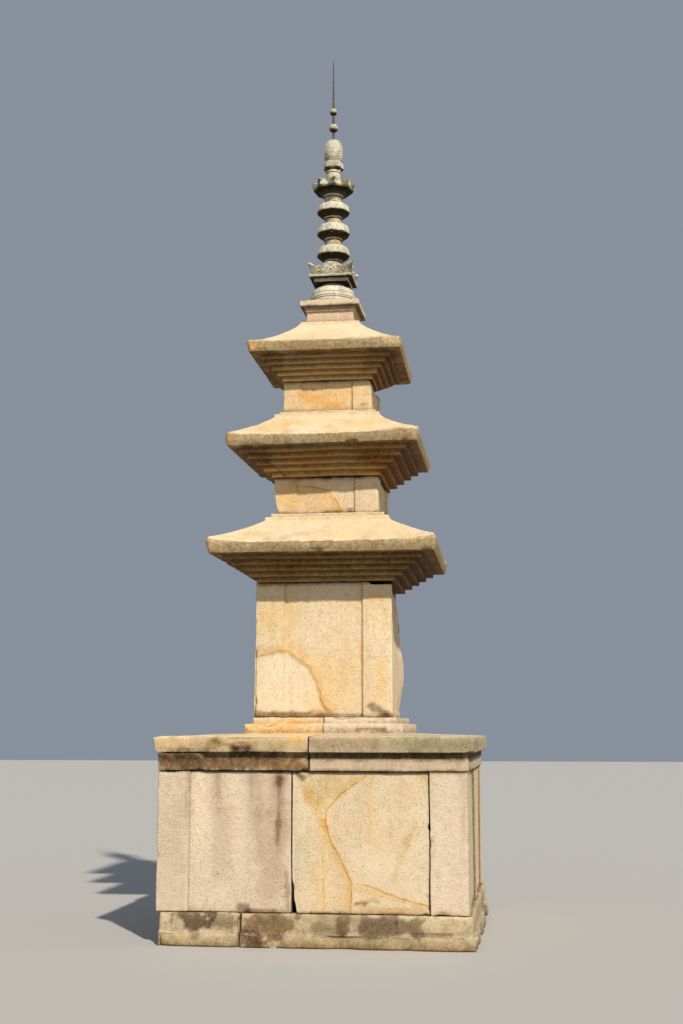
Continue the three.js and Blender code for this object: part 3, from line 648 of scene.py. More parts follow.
# how dark the joints and the painted shadow lines at the borders of pillars are drawn, and how far
# from them that reaches
jointLines = {"front": (0.55, 0.007), "side": (0.80, 0.014)}
pillarLines = {"front": (0.30, 0.006), "side": (0.75, 0.011)}
umber, taupe, dawn = (0.44, 0.34, 0.29), (0.68, 0.60, 0.53), (1.14, 1.13, 1.11)
# soil darkens cracks and dirt; at the foot of the cap's moulding it is painted shade
amber, honey, soilAndShade, bister = (1.0, 0.79, 0.46), (1.01, 0.90, 0.66), (0.42, 0.33, 0.24), (0.33, 0.24, 0.17)
slabPatches = {
    "base_front_left": [
        ("streak", (-0.222, 0.036, 0.62, 1.16), bister, 1.0),
        ("streak", (-0.235, 0.085, 0.30, 1.15), taupe, 0.75),
        ("line", ([(-0.222, 1.14), (-0.226, 0.90), (-0.236, 0.68)], 0.022), umber, 0.8),
        ("streak", (-0.385, 0.055, 0.40, 1.17), taupe, 0.75),
        ("streak", (-0.425, 0.018, 0.75, 1.15), umber, 0.5),
        ("streak", (-0.665, 0.045, 0.55, 1.19), taupe, 0.80),
        ("streak", (-0.655, 0.018, 0.85, 1.19), umber, 0.4),
        ("streak", (-0.870, 0.022, 0.55, 1.19), umber, 0.60),
        ("streak", (-0.785, 0.055, 0.20, 0.9), dawn, 0.9),
        ("streak", (-0.53, 0.055, 0.20, 0.9), dawn, 0.8),
        ("spot", (-1.0, 0.72, 0.16, 0.60), (0.90, 0.88, 0.86), 0.9),
        ("spot", (-0.27, 0.62, 0.16, 0.42), taupe, 0.55), ("spot", (-0.62, 0.70, 0.10, 0.30), taupe, 0.3),
        ("spot", (-0.47, 0.255, 0.055, 0.035), umber, 0.9),
        ("spot", (-0.30, 0.238, 0.16, 0.022), umber, 0.9),
        ("line", ([(-0.170, 0.52), (-0.155, 0.24)], 0.02), umber, 0.6),
    ],
    "base_front_right": [
        ("spot", (0.35, 0.7, 4.0, 4.0), (0.93, 0.93, 0.95), 1.0),
        ("spot", (0.14, 1.09, 0.22, 0.14), (0.86, 0.80, 0.66), 0.95),
        ("fade", (veins["down"][:5], 0.09), honey, 0.9),
        ("fade", (veins["down"][5:], 0.026), (0.90, 0.72, 0.48), 0.85),
        ("fade", (veins["down"][5:], 0.075), honey, 0.7),
        ("line", ([(-0.02, 1.06), (0.013, 0.96), (0.06, 0.88), (0.105, 0.80)], 0.040), amber, 0.65),
        ("line", ([(0.062, 1.14), (0.050, 0.94)], 0.007), taupe, 0.6),
        ("spot", (-0.06, 0.62, 0.10, 0.22), (0.90, 0.93, 1.0), 0.7),
        ("line", ([(0.093, 0.75), (0.090, 0.60), (0.093, 0.443), (0.094, 0.234)], 0.013), honey, 1.0),
        ("line", ([(0.093, 0.46), (0.094, 0.234)], 0.010), amber, 0.6),
        ("line", ([(0.72, 0.80), (0.675, 0.693), (0.623, 0.592), (0.575, 0.46)], 0.040),
         (0.90, 0.78, 0.58), 0.6),
        ("spot", (0.66, 0.71, 0.06, 0.06), (0.86, 0.74, 0.55), 0.6),
        ("streak", (0.425, 0.02, 0.60, 0.90), honey, 0.8),
        ("line", ([(-0.03, 0.70), (0.03, 0.50), (0.06, 0.30)], 0.03), honey, 0.7),
        ("line", ([(0.31, 0.292), (0.35, 0.303), (0.385, 0.298)], 0.014), soilAndShade, 0.95),
        ("line", ([(0.375, 0.30), (0.42, 0.318), (0.47, 0.31)], 0.020), (0.74, 0.68, 0.52), 0.9),
        ("line", ([(-0.10, 1.175), (-0.07, 1.150), (-0.05, 1.135)], 0.024), bister, 1.0),
        ("line", ([(-0.07, 1.165), (-0.03, 1.150), (0.02, 1.168)], 0.018), taupe, 0.9),
        ("spot", (0.55, 0.25, 0.30, 0.040), (0.88, 0.74, 0.52), 0.8),
        ("line", ([(0.0, 0.229), (0.85, 0.229)], 0.006), soilAndShade, 0.9),
        ("line", ([(0.74, 1.19), (0.80, 1.14), (0.86, 1.07)], 0.026), (0.92, 0.74, 0.46), 0.9),
        ("line", ([(0.31, 0.40), (0.45, 0.375), (0.60, 0.325), (0.82, 0.27)], 0.030),
         (0.96, 0.82, 0.58), 0.7),
        ("spot", (0.47, 0.60, 0.20, 0.20), (1.04, 1.04, 1.0), 0.6),
        ("spot", (0.62, 1.02, 0.16, 0.14), (0.95, 0.94, 0.90), 0.8),
    ],
    "base_corner_front_right": [
        ("spot", (0.98, 0.7, 3.0, 3.0), (1.07, 1.06, 1.07), 1.0),
        ("streak", (1.07, 0.02, 0.3, 1.0), taupe, 0.45),
    ],
}


# Rain run-off for a slab that the photo doesn't show: five streaks at places drawn from the seed.
def runOff(x0, x1, seed):
    drawn = np.random.default_rng(seed)
    places = zip(drawn.uniform(x0, x1, 5), drawn.uniform(0.02, 0.08, 5), drawn.uniform(0.35, 0.75, 5))
    return [("streak", (x, half, low, 1.19), taupe, 0.6) for x, half, low in places]


# Makes an upright slab drawn for the front and turned to its side. The face is pushed in by the relief
# between pillars: y + relief * nearness to the face * (1 - pillar), where pillar ramps from 0 to 1.
def makeSlab(node, quarters, pillars, material, slot, seed, carve=None, shadeDepth=0.026, **marks):
    low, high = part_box(node)
    corners = np.array([[[low.x, low.y, 0.0], [high.x, high.y, 0.0]]])
    flat = quarterTurned(corners, (4 - quarters) % 4)[0]
    x0, x1 = sorted(flat[:, 0])
    x0, x1 = float(x0), float(x1)
    face = -wall["half"]
    depth = float(flat[:, 1].max()) - face
    box = (x0, x1, face, face + depth)
    middle = (x0 + x1) / 2
    borders = [border - middle for pillar in pillars for border in pillar]
    breaks = [border + shift for border in borders for shift in (-0.005, 0.0, 0.005)]
    breaks = [place for place in breaks if abs(place) < (x1 - x0) / 2 - 0.02]
    profile = [(-0.05, wall["bottom"]), (0.0, wall["bottom"]), (0.0, wall["top"]), (-0.05, wall["top"])]
    path, sharp = roundedProfile(profile, wall["rounding"], wall["step"])
    loop = rectangleLoop(x1 - x0, depth, wall["step"], wall["rounding"], (breaks, (), (), ()),
                         wall["coarse"])
    grid = blockGrid(box, path, loop, wall["rounding"], seed=seed)
    x, nearFace = grid[..., 0], 1 - (grid[..., 1] - face) / depth
    pillar = np.zeros_like(x)
    bevel = wall["bevel"]
    for start, end in pillars:
        startsHere = np.ones_like(x) if start <= x0 + 0.01 else ramp(x, start - bevel, start + bevel)
        endsHere = np.ones_like(x) if end >= x1 - 0.01 else ramp(x, end + bevel, end - bevel)
        pillar = np.maximum(pillar, startsHere * endsHere)
    grid[..., 1] += wall["relief"] * np.clip(nearFace, 0, 1) * (1 - pillar)
    if carve:
        grid = carve(grid)
    edges = np.maximum(sharp[:, None], loop[4][None])
    grid = worn(grid, edges, wall["wear"], seed)
    given = {key: value(grid) if callable(value) else value for key, value in marks.items()}
    tint = painted(grid, slabPatches.get(node) or runOff(x0, x1, seed), seed + 2, face + 0.05)
    # painted shade: the slabs on the right, back and left are a little darker and warmer than the front
    if quarters:
        tint = tint * np.array(wall["sideShadeTint"])
    fromEnd = np.minimum(grid[..., 0] - grid[..., 0].min(), grid[..., 0].max() - grid[..., 0])
    onFace = ramp(grid[..., 1], face + 0.03, face + 0.01)
    jointShade, jointReach = jointLines["side" if quarters else "front"]
    tint = tint * (1 - jointShade * onFace * np.exp(-(fromEnd / jointReach) ** 2))[..., None]
    # painted shadow lines where the pillars stand out from the panels
    shade, reach = pillarLines["side" if quarters else "front"]
    for start, end in pillars:
        for border in (start, end):
            if x0 + 0.02 < border < x1 - 0.02:
                tint = tint * (1 - shade * np.exp(-((grid[..., 0] - border) / reach) ** 2))[..., None]
    topShade = ramp(grid[..., 2], wall["top"] - shadeDepth, wall["top"] - 0.004)
    tint = tint * (1 - topShade[..., None] * (1 - np.array(underMoulding)))
    turned = quarterTurned(grid, quarters)
    stone(node, turned, material, slot, edges * 0.35, tint=tint, **given)


lostCorner = {"depth": 0.038, "height": 0.33, "power": 2.2, "fades": 0.25}
notch = {"depth": 0.009, "height": 0.815, "half": 0.018, "fades": 0.05}


# The lower left corner of the front right slab broke away along a curve: the end moves in by
# depth * (1 - share of the height)^2.2 near the ground. A notch is cut into the other end.
def brokenCorner(grid):
    x0 = grid[..., 0].min()
    height = np.clip((grid[..., 2] - wall["bottom"]) / lostCorner["height"], 0, 1)
    loss = lostCorner["depth"] * (1 - height) ** lostCorner["power"]
    loss = loss * ramp(grid[..., 0], x0 + lostCorner["fades"], x0)
    x1 = grid[..., 0].max()
    cut = notch["depth"] * np.exp(-((grid[..., 2] - notch["height"]) / notch["half"]) ** 4)
    cut = cut * ramp(grid[..., 0], x1 - notch["fades"], x1)
    grid[..., 0] += loss - cut
    return grid


# Distance to a vein, positive to its right where it runs down and above it where it runs across, with
# the points shifted by a cloud so that the vein wavers. Far from the front face it is 1.
def veinDistance(grid, line, across, face):
    sway = 0.010 * cloud(grid, 0.14, 52, 3)
    x, z = grid[..., 0] + sway, grid[..., 2] + sway
    lineX, lineZ = np.array(line).T
    if across:
        above = (z > np.interp(x, lineX, lineZ)) | (x < lineX[0])
        side = np.where(above, 1.0, -1.0)
    else:
        side = np.sign(x - np.interp(z, lineZ[::-1], lineX[::-1]))
    return np.where(grid[..., 1] < face + 0.06, side * distanceToLine(x, z, line), 1.0)


def slabVein(grid):
    return veinDistance(grid, veins["down"], False, -wall["half"])


def slabBranch(grid):
    return veinDistance(grid, veins["across"], True, -wall["half"])


def foot(grid):
    return 0.25 * ramp(grid[..., 2], 0.40, 0.23)


print("base wall")
edge, corner, pillarHalf = wall["half"], wall["half"] - wall["cornerWidth"], wall["pillarHalf"]
centre = (-pillarHalf, pillarHalf)
makeSlab("base_front_left", 0, [(-edge, -corner)], pink, "granite_pink", 201, shadeDepth=0.010)
makeSlab("base_front_right", 0, [], cream, "granite_cream", 202, carve=brokenCorner, vein=slabVein,
         branch=slabBranch)
makeSlab("base_corner_front_right", 0, [(-2, 2)], pink, "granite_pink", 203)
makeSlab("base_right_front", 1, [centre], pink, "granite_pink", 204, stain=foot)
makeSlab("base_right_back", 1, [(corner, edge)], cream, "granite_cream", 205, stain=foot)
makeSlab("base_back_right", 2, [], cream, "granite_cream", 206, stain=foot)
makeSlab("base_back_left", 2, [centre, (corner, edge)], pink, "granite_pink", 207, stain=foot)
makeSlab("base_left_back", 3, [centre], cream, "granite_cream", 208, stain=foot)
makeSlab("base_left_front", 3, [], pink, "granite_pink", 209, stain=foot)


# Cap

cap = {
    "moulding": 1.105, "mouldingTop": 1.318, "slabBottom": 1.149, "slab": 1.150, "slabTop": 1.428,
    "slopeTop": 1.448, "lowerStep": 0.603, "lowerStepTop": 1.520, "upperStep": 0.550, "top": 1.567,
    "slabSeam": -0.008, "stepSeam": 0.014, "halfSeam": 0.0015, "wornTop": 0.012, "wornEnd": 0.026,
    "bottom": 1.190, "step": 0.0172, "rounding": 0.007,
    "wear": {"swell": 0.003, "dressing": 0.0015, "chips": 0.022, "chipSize": 0.14, "rounding": 0.003},
    "wornWear": {"swell": 0.005, "dressing": 0.0025, "chips": 0.045, "chipSize": 0.20, "rounding": 0.008},
}


# mouldingTop is the colour of the painted shadow that the slab casts on the moulding
slabFace, mouldingFace, mouldingTop = (0.70, 0.66, 0.57), (0.86, 0.83, 0.76), (0.20, 0.165, 0.11)
plumBrown = (0.24, 0.165, 0.105)
capPatches = {
    "cap_front_left": [
        ("spot", (-0.62, 1.25, 1.0, 0.12), plumBrown, 1.0),
        ("line", ([(-0.12, 1.23), (-0.09, 1.25), (-0.05, 1.26)], 0.030), (1.9, 1.8, 1.4), 0.8),
        ("spot", (-0.66, 1.375, 0.09, 0.06), (0.62, 0.53, 0.34), 0.95),
        ("line", ([(-0.68, 1.405), (-0.60, 1.375), (-0.52, 1.345), (-0.34, 1.326)], 0.030),
         (0.42, 0.32, 0.24), 0.95),
        ("line", ([(-0.52, 1.40), (-0.44, 1.375), (-0.40, 1.34)], 0.016), (0.62, 0.50, 0.38), 0.8),
        ("spot", (-0.46, 1.375, 0.16, 0.04), (0.72, 0.62, 0.46), 0.8),
        ("spot", (-0.96, 1.37, 0.2, 0.09), (1.16, 1.12, 1.02), 0.9),
        ("spot", (-0.22, 1.36, 0.10, 0.07), (0.86, 0.76, 0.56), 0.8),
        ("spot", (-0.09, 1.38, 0.09, 0.06), (1.20, 1.06, 0.80), 0.9),
        ("line", ([(-0.90, 1.34), (-0.80, 1.335), (-0.72, 1.322)], 0.012), soilAndShade, 0.8),
        ("line", ([(-1.041, 1.264), (-1.003, 1.225)], 0.006), (2.2, 2.2, 2.1), 0.8),
        ("spot", (-0.445, 1.24, 0.03, 0.06), (1.5, 1.45, 1.2), 0.7),
        ("spot", (-0.30, 1.23, 0.07, 0.05), (1.6, 1.5, 1.15), 0.7),
        ("spot", (-0.18, 1.23, 0.04, 0.05), (1.7, 1.5, 1.05), 0.7),
        # painted shadow gap at the foot of the moulding
        ("line", ([(-1.1, 1.193), (-0.02, 1.193)], 0.009), soilAndShade, 1.0),
        ("line", ([(-1.15, 1.425), (-0.02, 1.425)], 0.011), (1.35, 1.32, 1.25), 0.8),
        ("spot", (-0.85, 1.235, 0.10, 0.035), (0.8, 0.66, 0.60), 0.7),
        ("spot", (-0.30, 1.50, 0.5, 0.08), (0.98, 0.82, 0.56), 1.0),
        ("streak", (-0.225, 0.045, 1.44, 1.50), amber, 0.8),
        ("streak", (-0.03, 0.03, 1.44, 1.50), amber, 0.6),
    ],
    "cap_front_right": [
        ("spot", (0.86, 1.375, 0.48, 0.10), (0.68, 0.71, 0.63), 1.0),
        ("spot", (0.26, 1.375, 0.34, 0.10), (0.86, 0.81, 0.74), 1.0),
        ("line", ([(0.27, 1.480), (0.36, 1.486), (0.47, 1.480)], 0.024), (0.50, 0.37, 0.31), 1.0),
        ("spot", (0.3, 1.52, 0.8, 0.10), (1.15, 1.16, 1.16), 1.0),
        ("spot", (0.5, 1.25, 1.0, 0.10), (1.03, 1.01, 0.97), 0.9),
        # painted shadow gap at the foot of the moulding
        ("line", ([(0.0, 1.193), (1.1, 1.193)], 0.008), soilAndShade, 1.0),
        ("line", ([(0.0, 1.425), (1.15, 1.425)], 0.012), (1.3, 1.3, 1.3), 0.9),
    ],
}


# A cap stone: moulding, slab, slope and steps in one profile. The left end of the front left one moves in
# by (wornTop + wornEnd * share) * (1 - u)^12, with u from 0 at that end and share from 0 to 1 down the
# slab.
def makeCapStone(node, material, slot, wear, seed, stain, rust):
    low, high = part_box(node)
    right, back = high.x > 0.5, high.y > 0.5
    seam = cap["slabSeam"] + cap["halfSeam"] * (1 if right else -1)
    box = (seam, high.x, low.y, high.y) if right else (low.x, seam, low.y, high.y)
    slab = cap["slab"]
    corners = [
        (cap["moulding"] - slab - 0.06, cap["bottom"]), (cap["moulding"] - slab, cap["bottom"]),
        (cap["moulding"] - slab, cap["mouldingTop"]), (cap["slabBottom"] - slab, cap["mouldingTop"]),
        (0.0, cap["slabTop"]), (cap["lowerStep"] - slab, cap["slopeTop"]),
        (cap["lowerStep"] - slab, cap["lowerStepTop"]), (cap["upperStep"] - slab, cap["lowerStepTop"]),
        (cap["upperStep"] - slab, cap["top"]), (cap["upperStep"] - slab - 0.05, cap["top"]),
    ]
    path, sharp = roundedProfile(corners, cap["rounding"], cap["step"])
    coarse = (5 if back else 1, 1.3 if right else 5, 1.7 if back else 5, 5 if right else 1.5)
    loop = rectangleLoop(box[1] - box[0], box[3] - box[2], cap["step"], cap["rounding"], coarse=coarse)
    grows = (not right, right, not back, back)
    grid = blockGrid(box, path, loop, cap["rounding"], grows, seed)
    inner = 1 - loop[0] if right else loop[0]
    onSteps = ramp(grid[..., 2], cap["slabTop"], cap["slopeTop"])
    grid[..., 0] += (cap["stepSeam"] - cap["slabSeam"]) * inner * onSteps
    if node == "cap_front_left":
        share = np.clip((cap["slabTop"] - grid[..., 2]) / (cap["slabTop"] - cap["mouldingTop"]), 0, 1)
        onSlab = ramp(grid[..., 2], cap["mouldingTop"] - 0.004, cap["mouldingTop"])
        grid[..., 0] += (cap["wornTop"] + cap["wornEnd"] * share) * onSlab * (1 - loop[0]) ** 12
        filled = ramp(grid[..., 0], -0.73, -0.80) * ramp(grid[..., 2], 1.24, cap["mouldingTop"])
        grid[..., 1] -= 0.030 * filled * (1 - onSlab) * (loop[2] == 0)
    edges = np.maximum(sharp[:, None], loop[4][None])
    grid = worn(grid, edges, wear, seed)
    z = grid[..., 2]
    tint = painted(grid, capPatches.get(node, []), seed + 5, -0.45)
    aboveMoulding = ramp(z, cap["mouldingTop"] - 0.003, cap["mouldingTop"] + 0.003)
    onSlab = aboveMoulding * ramp(z, cap["slabTop"] + 0.004, cap["slabTop"] - 0.006)
    onMoulding = ramp(z, cap["mouldingTop"] + 0.003, cap["mouldingTop"] - 0.003)
    tint = tint * (1 + (np.array(slabFace) - 1) * onSlab[..., None])
    tint = tint * (1 + (np.array(mouldingFace) - 1) * onMoulding[..., None])
    # painted shadow of the slab across the upper part of the moulding, weaker on the front left stone
    wavering = z + 0.005 * cloud(grid, 0.05, seed + 6, 2)
    shaded = onMoulding * ramp(wavering, cap["mouldingTop"] - 0.062, cap["mouldingTop"] - 0.044)
    strength = 0.65 if node == "cap_front_left" else 1.0
    tint = tint * (1 + (np.array(mouldingTop) - 1) * (strength * shaded)[..., None])
    marked = np.clip(stain * (0.6 + 0.5 * onMoulding) + 0.25 * cloud(grid, 0.3, seed + 3, 2) * stain, 0, 1)
    stone(node, grid, material, slot, edges * 0.5, stain=marked, rust=rust, tint=tint)


print("cap")
makeCapStone("cap_front_left", cream, "granite_cream", cap["wornWear"], 301, 0.12, 0.10)
makeCapStone("cap_front_right", tooledPink, "granite_pink", cap["wear"], 302, 0.02, 0.0)
makeCapStone("cap_back_right", tooledPink, "granite_pink", cap["wear"], 303, 0.22, 0.0)
makeCapStone("cap_back_left", cream, "granite_cream", cap["wornWear"], 304, 0.32, 0.2)


# Storeys

storeyGrid = {
    "step": 0.0132, "rounding": 0.008, "close": 0.010, "corner": 0.012, "coarse": (1, 1.3, 2, 1.5),
}
storeyWear = {"swell": 0.004, "dressing": 0.0016, "chips": 0.022, "chipSize": 0.13, "rounding": 0.003}
storeys = {
    "storey_1": {
        "bottom": 1.567, "top": 2.579, "halfBottom": 0.521, "halfTop": 0.518, "pillar": 0.225,
        "relief": 0.016,
    },
    "storey_2": {
        "bottom": 3.120, "top": 3.408, "halfBottom": 0.405, "halfTop": 0.403, "pillar": 0.180,
        "relief": 0.012,
    },
    "storey_3": {
        "bottom": 3.938, "top": 4.186, "halfBottom": 0.349, "halfTop": 0.346, "pillar": 0.148,
        "relief": 0.012,
    },
}
# how far the back right edge of the first storey is lost, as (height, depth)
lostEdge = [(1.567, 0.052), (1.628, 0.055), (1.741, 0.033), (1.822, 0.019), (1.919, 0.016), (2.033, 0.020),
            (2.114, 0.046), (2.262, 0.057), (2.484, 0.076), (2.579, 0.086)]
# the upper border of the pale spall at the lower left of its front, as (x, z)
spallEdge = [(-0.530, 2.010), (-0.266, 2.061), (-0.190, 1.993), (-0.114, 1.933), (-0.053, 1.843),
             (-0.037, 1.755), (-0.007, 1.673), (0.060, 1.590)]
spallRim = (0.86, 0.70, 0.47)
storeyVein = [(-0.233, 3.340), (-0.107, 3.337), (0.018, 3.295), (0.080, 3.223), (0.135, 3.129)]


storeyPatches = {
    "storey_1": [
        ("streak", (-0.275, 0.055, 2.00, 2.14), honey, 0.65),
        ("streak", (-0.262, 0.012, 2.02, 2.12), amber, 0.25),
        ("spot", (0.08, 1.80, 0.30, 0.32), honey, 0.60), ("spot", (-0.24, 2.075, 0.14, 0.07), amber, 0.3),
        ("spot", (-0.44, 2.28, 0.09, 0.16), honey, 0.8), ("spot", (0.44, 1.87, 0.05, 0.22), honey, 0.9),
        ("line", ([(-0.52, 1.574), (-0.30, 1.585), (-0.10, 1.576), (0.10, 1.586), (0.52, 1.574)], 0.026),
         (0.38, 0.31, 0.23), 1.0),
        ("line", ([(-0.03, 1.71), (0.0, 1.65), (0.036, 1.60), (0.08, 1.585)], 0.007),
         (0.36, 0.26, 0.18), 0.9),
        ("line", ([(-0.52, 1.612), (-0.42, 1.598), (-0.33, 1.604), (-0.10, 1.598)], 0.016),
         (0.55, 0.46, 0.36), 1.0),
        ("spot", (-0.30, 1.590, 0.24, 0.035), (0.80, 0.72, 0.60), 1.0),
        ("spot", (-0.06, 1.60, 0.09, 0.03), taupe, 0.9),
        ("spot", (0.41, 1.630, 0.085, 0.052), (0.36, 0.40, 0.37), 1.0),
        ("spot", (0.46, 1.605, 0.05, 0.022), (0.62, 0.52, 0.40), 0.8),
        ("spot", (0.35, 1.583, 0.16, 0.012), soilAndShade, 0.8),
        ("spot", (-0.43, 2.560, 0.11, 0.022), (0.72, 0.52, 0.32), 0.9),
        ("line", ([(0.33, 1.79), (0.43, 1.66)], 0.010), amber, 0.5),
        ("line", ([(0.31, 1.99), (0.40, 2.01), (0.50, 2.015)], 0.008), honey, 0.9),
        ("spot", (0.42, 2.45, 0.08, 0.05), honey, 0.7), ("spot", (0.40, 2.25, 0.09, 0.2), dawn, 0.4),
        ("spot", (0.286, 2.0, 0.014, 0.12), amber, 0.6),
    ],
    "storey_2": [
        ("spot", (0.0, 3.26, 3.0, 3.0), (0.95, 0.91, 0.88), 1.0),
        ("spot", (0.27, 3.24, 0.22, 0.25), (0.98, 1.02, 1.08), 0.8),
        ("fade", (storeyVein[1:], 0.16), (0.98, 0.80, 0.52), 1.0),
        ("spot", (-0.28, 3.22, 0.12, 0.14), honey, 0.8),
        ("line", ([(-0.275, 3.213), (-0.235, 3.213)], 0.006), soilAndShade, 0.9),
        ("spot", (0.20, 3.15, 0.03, 0.014), soilAndShade, 0.9), ("spot", (-0.255, 3.37, 0.03, 0.03), taupe, 0.7),
        ("line", ([(-0.40, 3.124), (0.14, 3.124)], 0.006), soilAndShade, 0.8),
    ],
    "storey_3": [
        ("spot", (0.0, 4.05, 3.0, 3.0), (0.97, 0.88, 0.74), 1.0),
        ("spot", (0.0, 4.02, 0.24, 0.12), honey, 0.8),
        ("line", ([(-0.20, 4.08), (-0.14, 4.05), (-0.06, 4.05)], 0.060), (0.98, 0.80, 0.54), 0.75),
        ("line", ([(0.0, 3.985), (0.07, 3.975), (0.13, 3.99)], 0.045), (0.98, 0.80, 0.54), 0.75),
        ("line", ([(0.12, 3.975), (0.15, 3.985), (0.16, 4.0)], 0.025), (1.1, 1.2, 1.45), 0.9),
        ("spot", (-0.26, 4.09, 0.06, 0.07), (1.0, 1.06, 1.15), 0.7),
        ("line", ([(-0.115, 4.112), (-0.08, 4.118), (-0.03, 4.116)], 0.008), soilAndShade, 0.9),
        ("line", ([(-0.34, 3.950), (-0.27, 3.956), (-0.20, 3.948)], 0.012), soilAndShade, 0.8),
        ("line", ([(0.24, 3.978), (0.29, 3.986), (0.345, 3.990)], 0.005), soilAndShade, 0.8),
    ],
}


# what the first storey loses at its top right, the second at its lower left, the third at its top right
losses = {
    "storey_1": {"depth": 0.022, "across": (0.34, 0.37), "behind": (0.16, 0.02), "below": (0.06, 0.01)},
    "storey_2": {"depth": 0.036, "top": 3.275, "power": 1.4, "across": 0.08, "behind": (0.1, 0.05)},
    "storey_3": {"radius": 0.050, "behind": (0.3, 0.0)},
}


# The first block sinks by depth at its corner, the second moves in by depth * share^power towards its
# foot, and the third is rounded where dx^2 + dz^2 passes radius^2 from the centre of its corner.
def smallLosses(grid, node, block, half):
    x, y, z = grid[..., 0], grid[..., 1], grid[..., 2]
    loss = losses[node]
    if node == "storey_1":
        wedge = loss["depth"] * ramp(x, *loss["across"])
        wedge = wedge * ramp(y, -half + loss["behind"][0], -half + loss["behind"][1])
        grid[..., 2] -= wedge * ramp(z, block["top"] - loss["below"][0], block["top"] - loss["below"][1])
    if node == "storey_2":
        share = np.clip((loss["top"] - z) / (loss["top"] - block["bottom"]), 0, 1)
        onEdge = loss["depth"] * share ** loss["power"] * ramp(x, -half + loss["across"], -half)
        grid[..., 0] += onEdge * ramp(y, loss["behind"][0], -half + loss["behind"][1])
    if node == "storey_3":
        radius = loss["radius"]
        dx, dz = x - (half - radius), z - (block["top"] - radius)
        away = np.hypot(dx, dz)
        scale = np.where((dx > 0) & (dz > 0) & (away > radius), radius / np.maximum(away, 1e-6), 1.0)
        share = ramp(y, *loss["behind"])
        grid[..., 0] = x + (dx * scale - dx) * share
        grid[..., 2] = z + (dz * scale - dz) * share
    return grid


# The back right edge: x is held to half - loss(z) * back^0.8, where back runs from 0 at the front to 1.
def loseEdge(grid, half):
    heights, depths = np.array(lostEdge).T
    loss = np.interp(grid[..., 2], heights, depths)
    back = np.clip((grid[..., 1] + half) / (2 * half), 0, 1) ** 0.8
    rough = 1 + 0.25 * cloud(grid, 0.16, 77, 3)
    grid[..., 0] = np.minimum(grid[..., 0], half - loss * back * rough)
    return grid


# A storey block. Between its corner pillars each side moves in by relief * (0.75 + 0.25 * noise).
def makeStorey(node, seed):
    block = storeys[node]
    half = block["halfBottom"]
    lean = block["halfTop"] - half
    bottom, top = block["bottom"], block["top"]
    corners = [(-0.04, bottom), (0.0, bottom), (lean, top), (lean - 0.04, top)]
    path, sharp = roundedProfile(corners, storeyGrid["rounding"], storeyGrid["step"])
    pillarEdge = half - block["pillar"]
    breaks = [sign * (pillarEdge + shift) for sign in (-1, 1) for shift in (-0.005, 0.0, 0.005)]
    loop = rectangleLoop(2 * half, 2 * half, storeyGrid["step"], storeyGrid["close"], (breaks,) * 4,
                         storeyGrid["coarse"])
    grid = blockGrid((-half, half, -half, half), path, loop, storeyGrid["corner"], seed=seed)
    between = ramp(np.abs(loop[3]), pillarEdge + 0.003, pillarEdge - 0.003)
    inward = np.array([(0, 1), (-1, 0), (0, -1), (1, 0)])[loop[2].astype(int)]
    faded = 0.75 + 0.25 * noise(grid, 0.35, seed + 1)
    if node == "storey_1":
        spalled = (loop[2] == 0) * (loop[3] < 0) * ramp(grid[..., 2], 2.12, 2.02)
        between = np.maximum(between, spalled)
    sink = block["relief"] * between * faded
    grid[..., :2] += inward[None] * sink[..., None]
    grid = smallLosses(grid, node, block, half)
    marks = {}
    band, rim = 0.0, 0.0
    if node == "storey_1":
        grid = loseEdge(grid, half)
        inside = spallDepth(grid, half)
        grid[..., 1] += 0.007 * ramp(inside, -0.003, 0.006)
        marks["spall"] = inside
        band = 0.45 * ramp(inside, -0.085, -0.012) * ramp(inside, 0.002, -0.004)
        rim = np.exp(-((inside + 0.004) / 0.007) ** 2)
    if node == "storey_2":
        marks["vein"] = veinDistance(grid, storeyVein, True, -half)
    edges = np.maximum(sharp[:, None], loop[4][None])
    tint = painted(grid, storeyPatches[node], seed + 6, -half + 0.05)
    tint = tint * (1 + (np.array(amber) - 1) * (band * np.ones(grid.shape[:2]))[..., None])
    tint = tint * (1 + (np.array(spallRim) - 1) * (rim * np.ones(grid.shape[:2]))[..., None])
    # painted shadow lines along the borders of the pillars
    strength = np.where(loop[3] * (loop[2] == 0) < 0, 0.12, 0.5)  # fainter on the front's worn left half
    border = np.exp(-((np.abs(loop[3]) - pillarEdge) / 0.005) ** 2) * strength
    tint = tint * (1 - border)[None, :, None]
    # painted shade, with some dirt, along the top of the block under the roof stone
    tint = tint * (1 - 0.75 * ramp(grid[..., 2], top - 0.030, top - 0.008))[..., None]
    grid = worn(grid, edges, storeyWear, seed)
    stone(node, grid, cream, "granite_cream", edges * 0.4, rust=0.06, tint=tint, **marks)


# How far a point of the front lies inside the spall: the distance to its border, positive below it.
def spallDepth(grid, half):
    x, z = grid[..., 0], grid[..., 2]
    wavy = 0.01 * cloud(grid, 0.05, 41, 2)
    distance = distanceToLine(x, z, spallEdge)
    borderX, borderZ = np.array(spallEdge).T
    below = (z < np.interp(x, borderX, borderZ)) & (x < borderX[-1])
    inside = np.where(below, distance, -distance) + wavy
    return np.where(grid[..., 1] < -half + 0.05, inside, -1.0)


print("storeys")
for number, node in enumerate(storeys):
    makeStorey(node, 401 + 11 * number)


# Roof stones

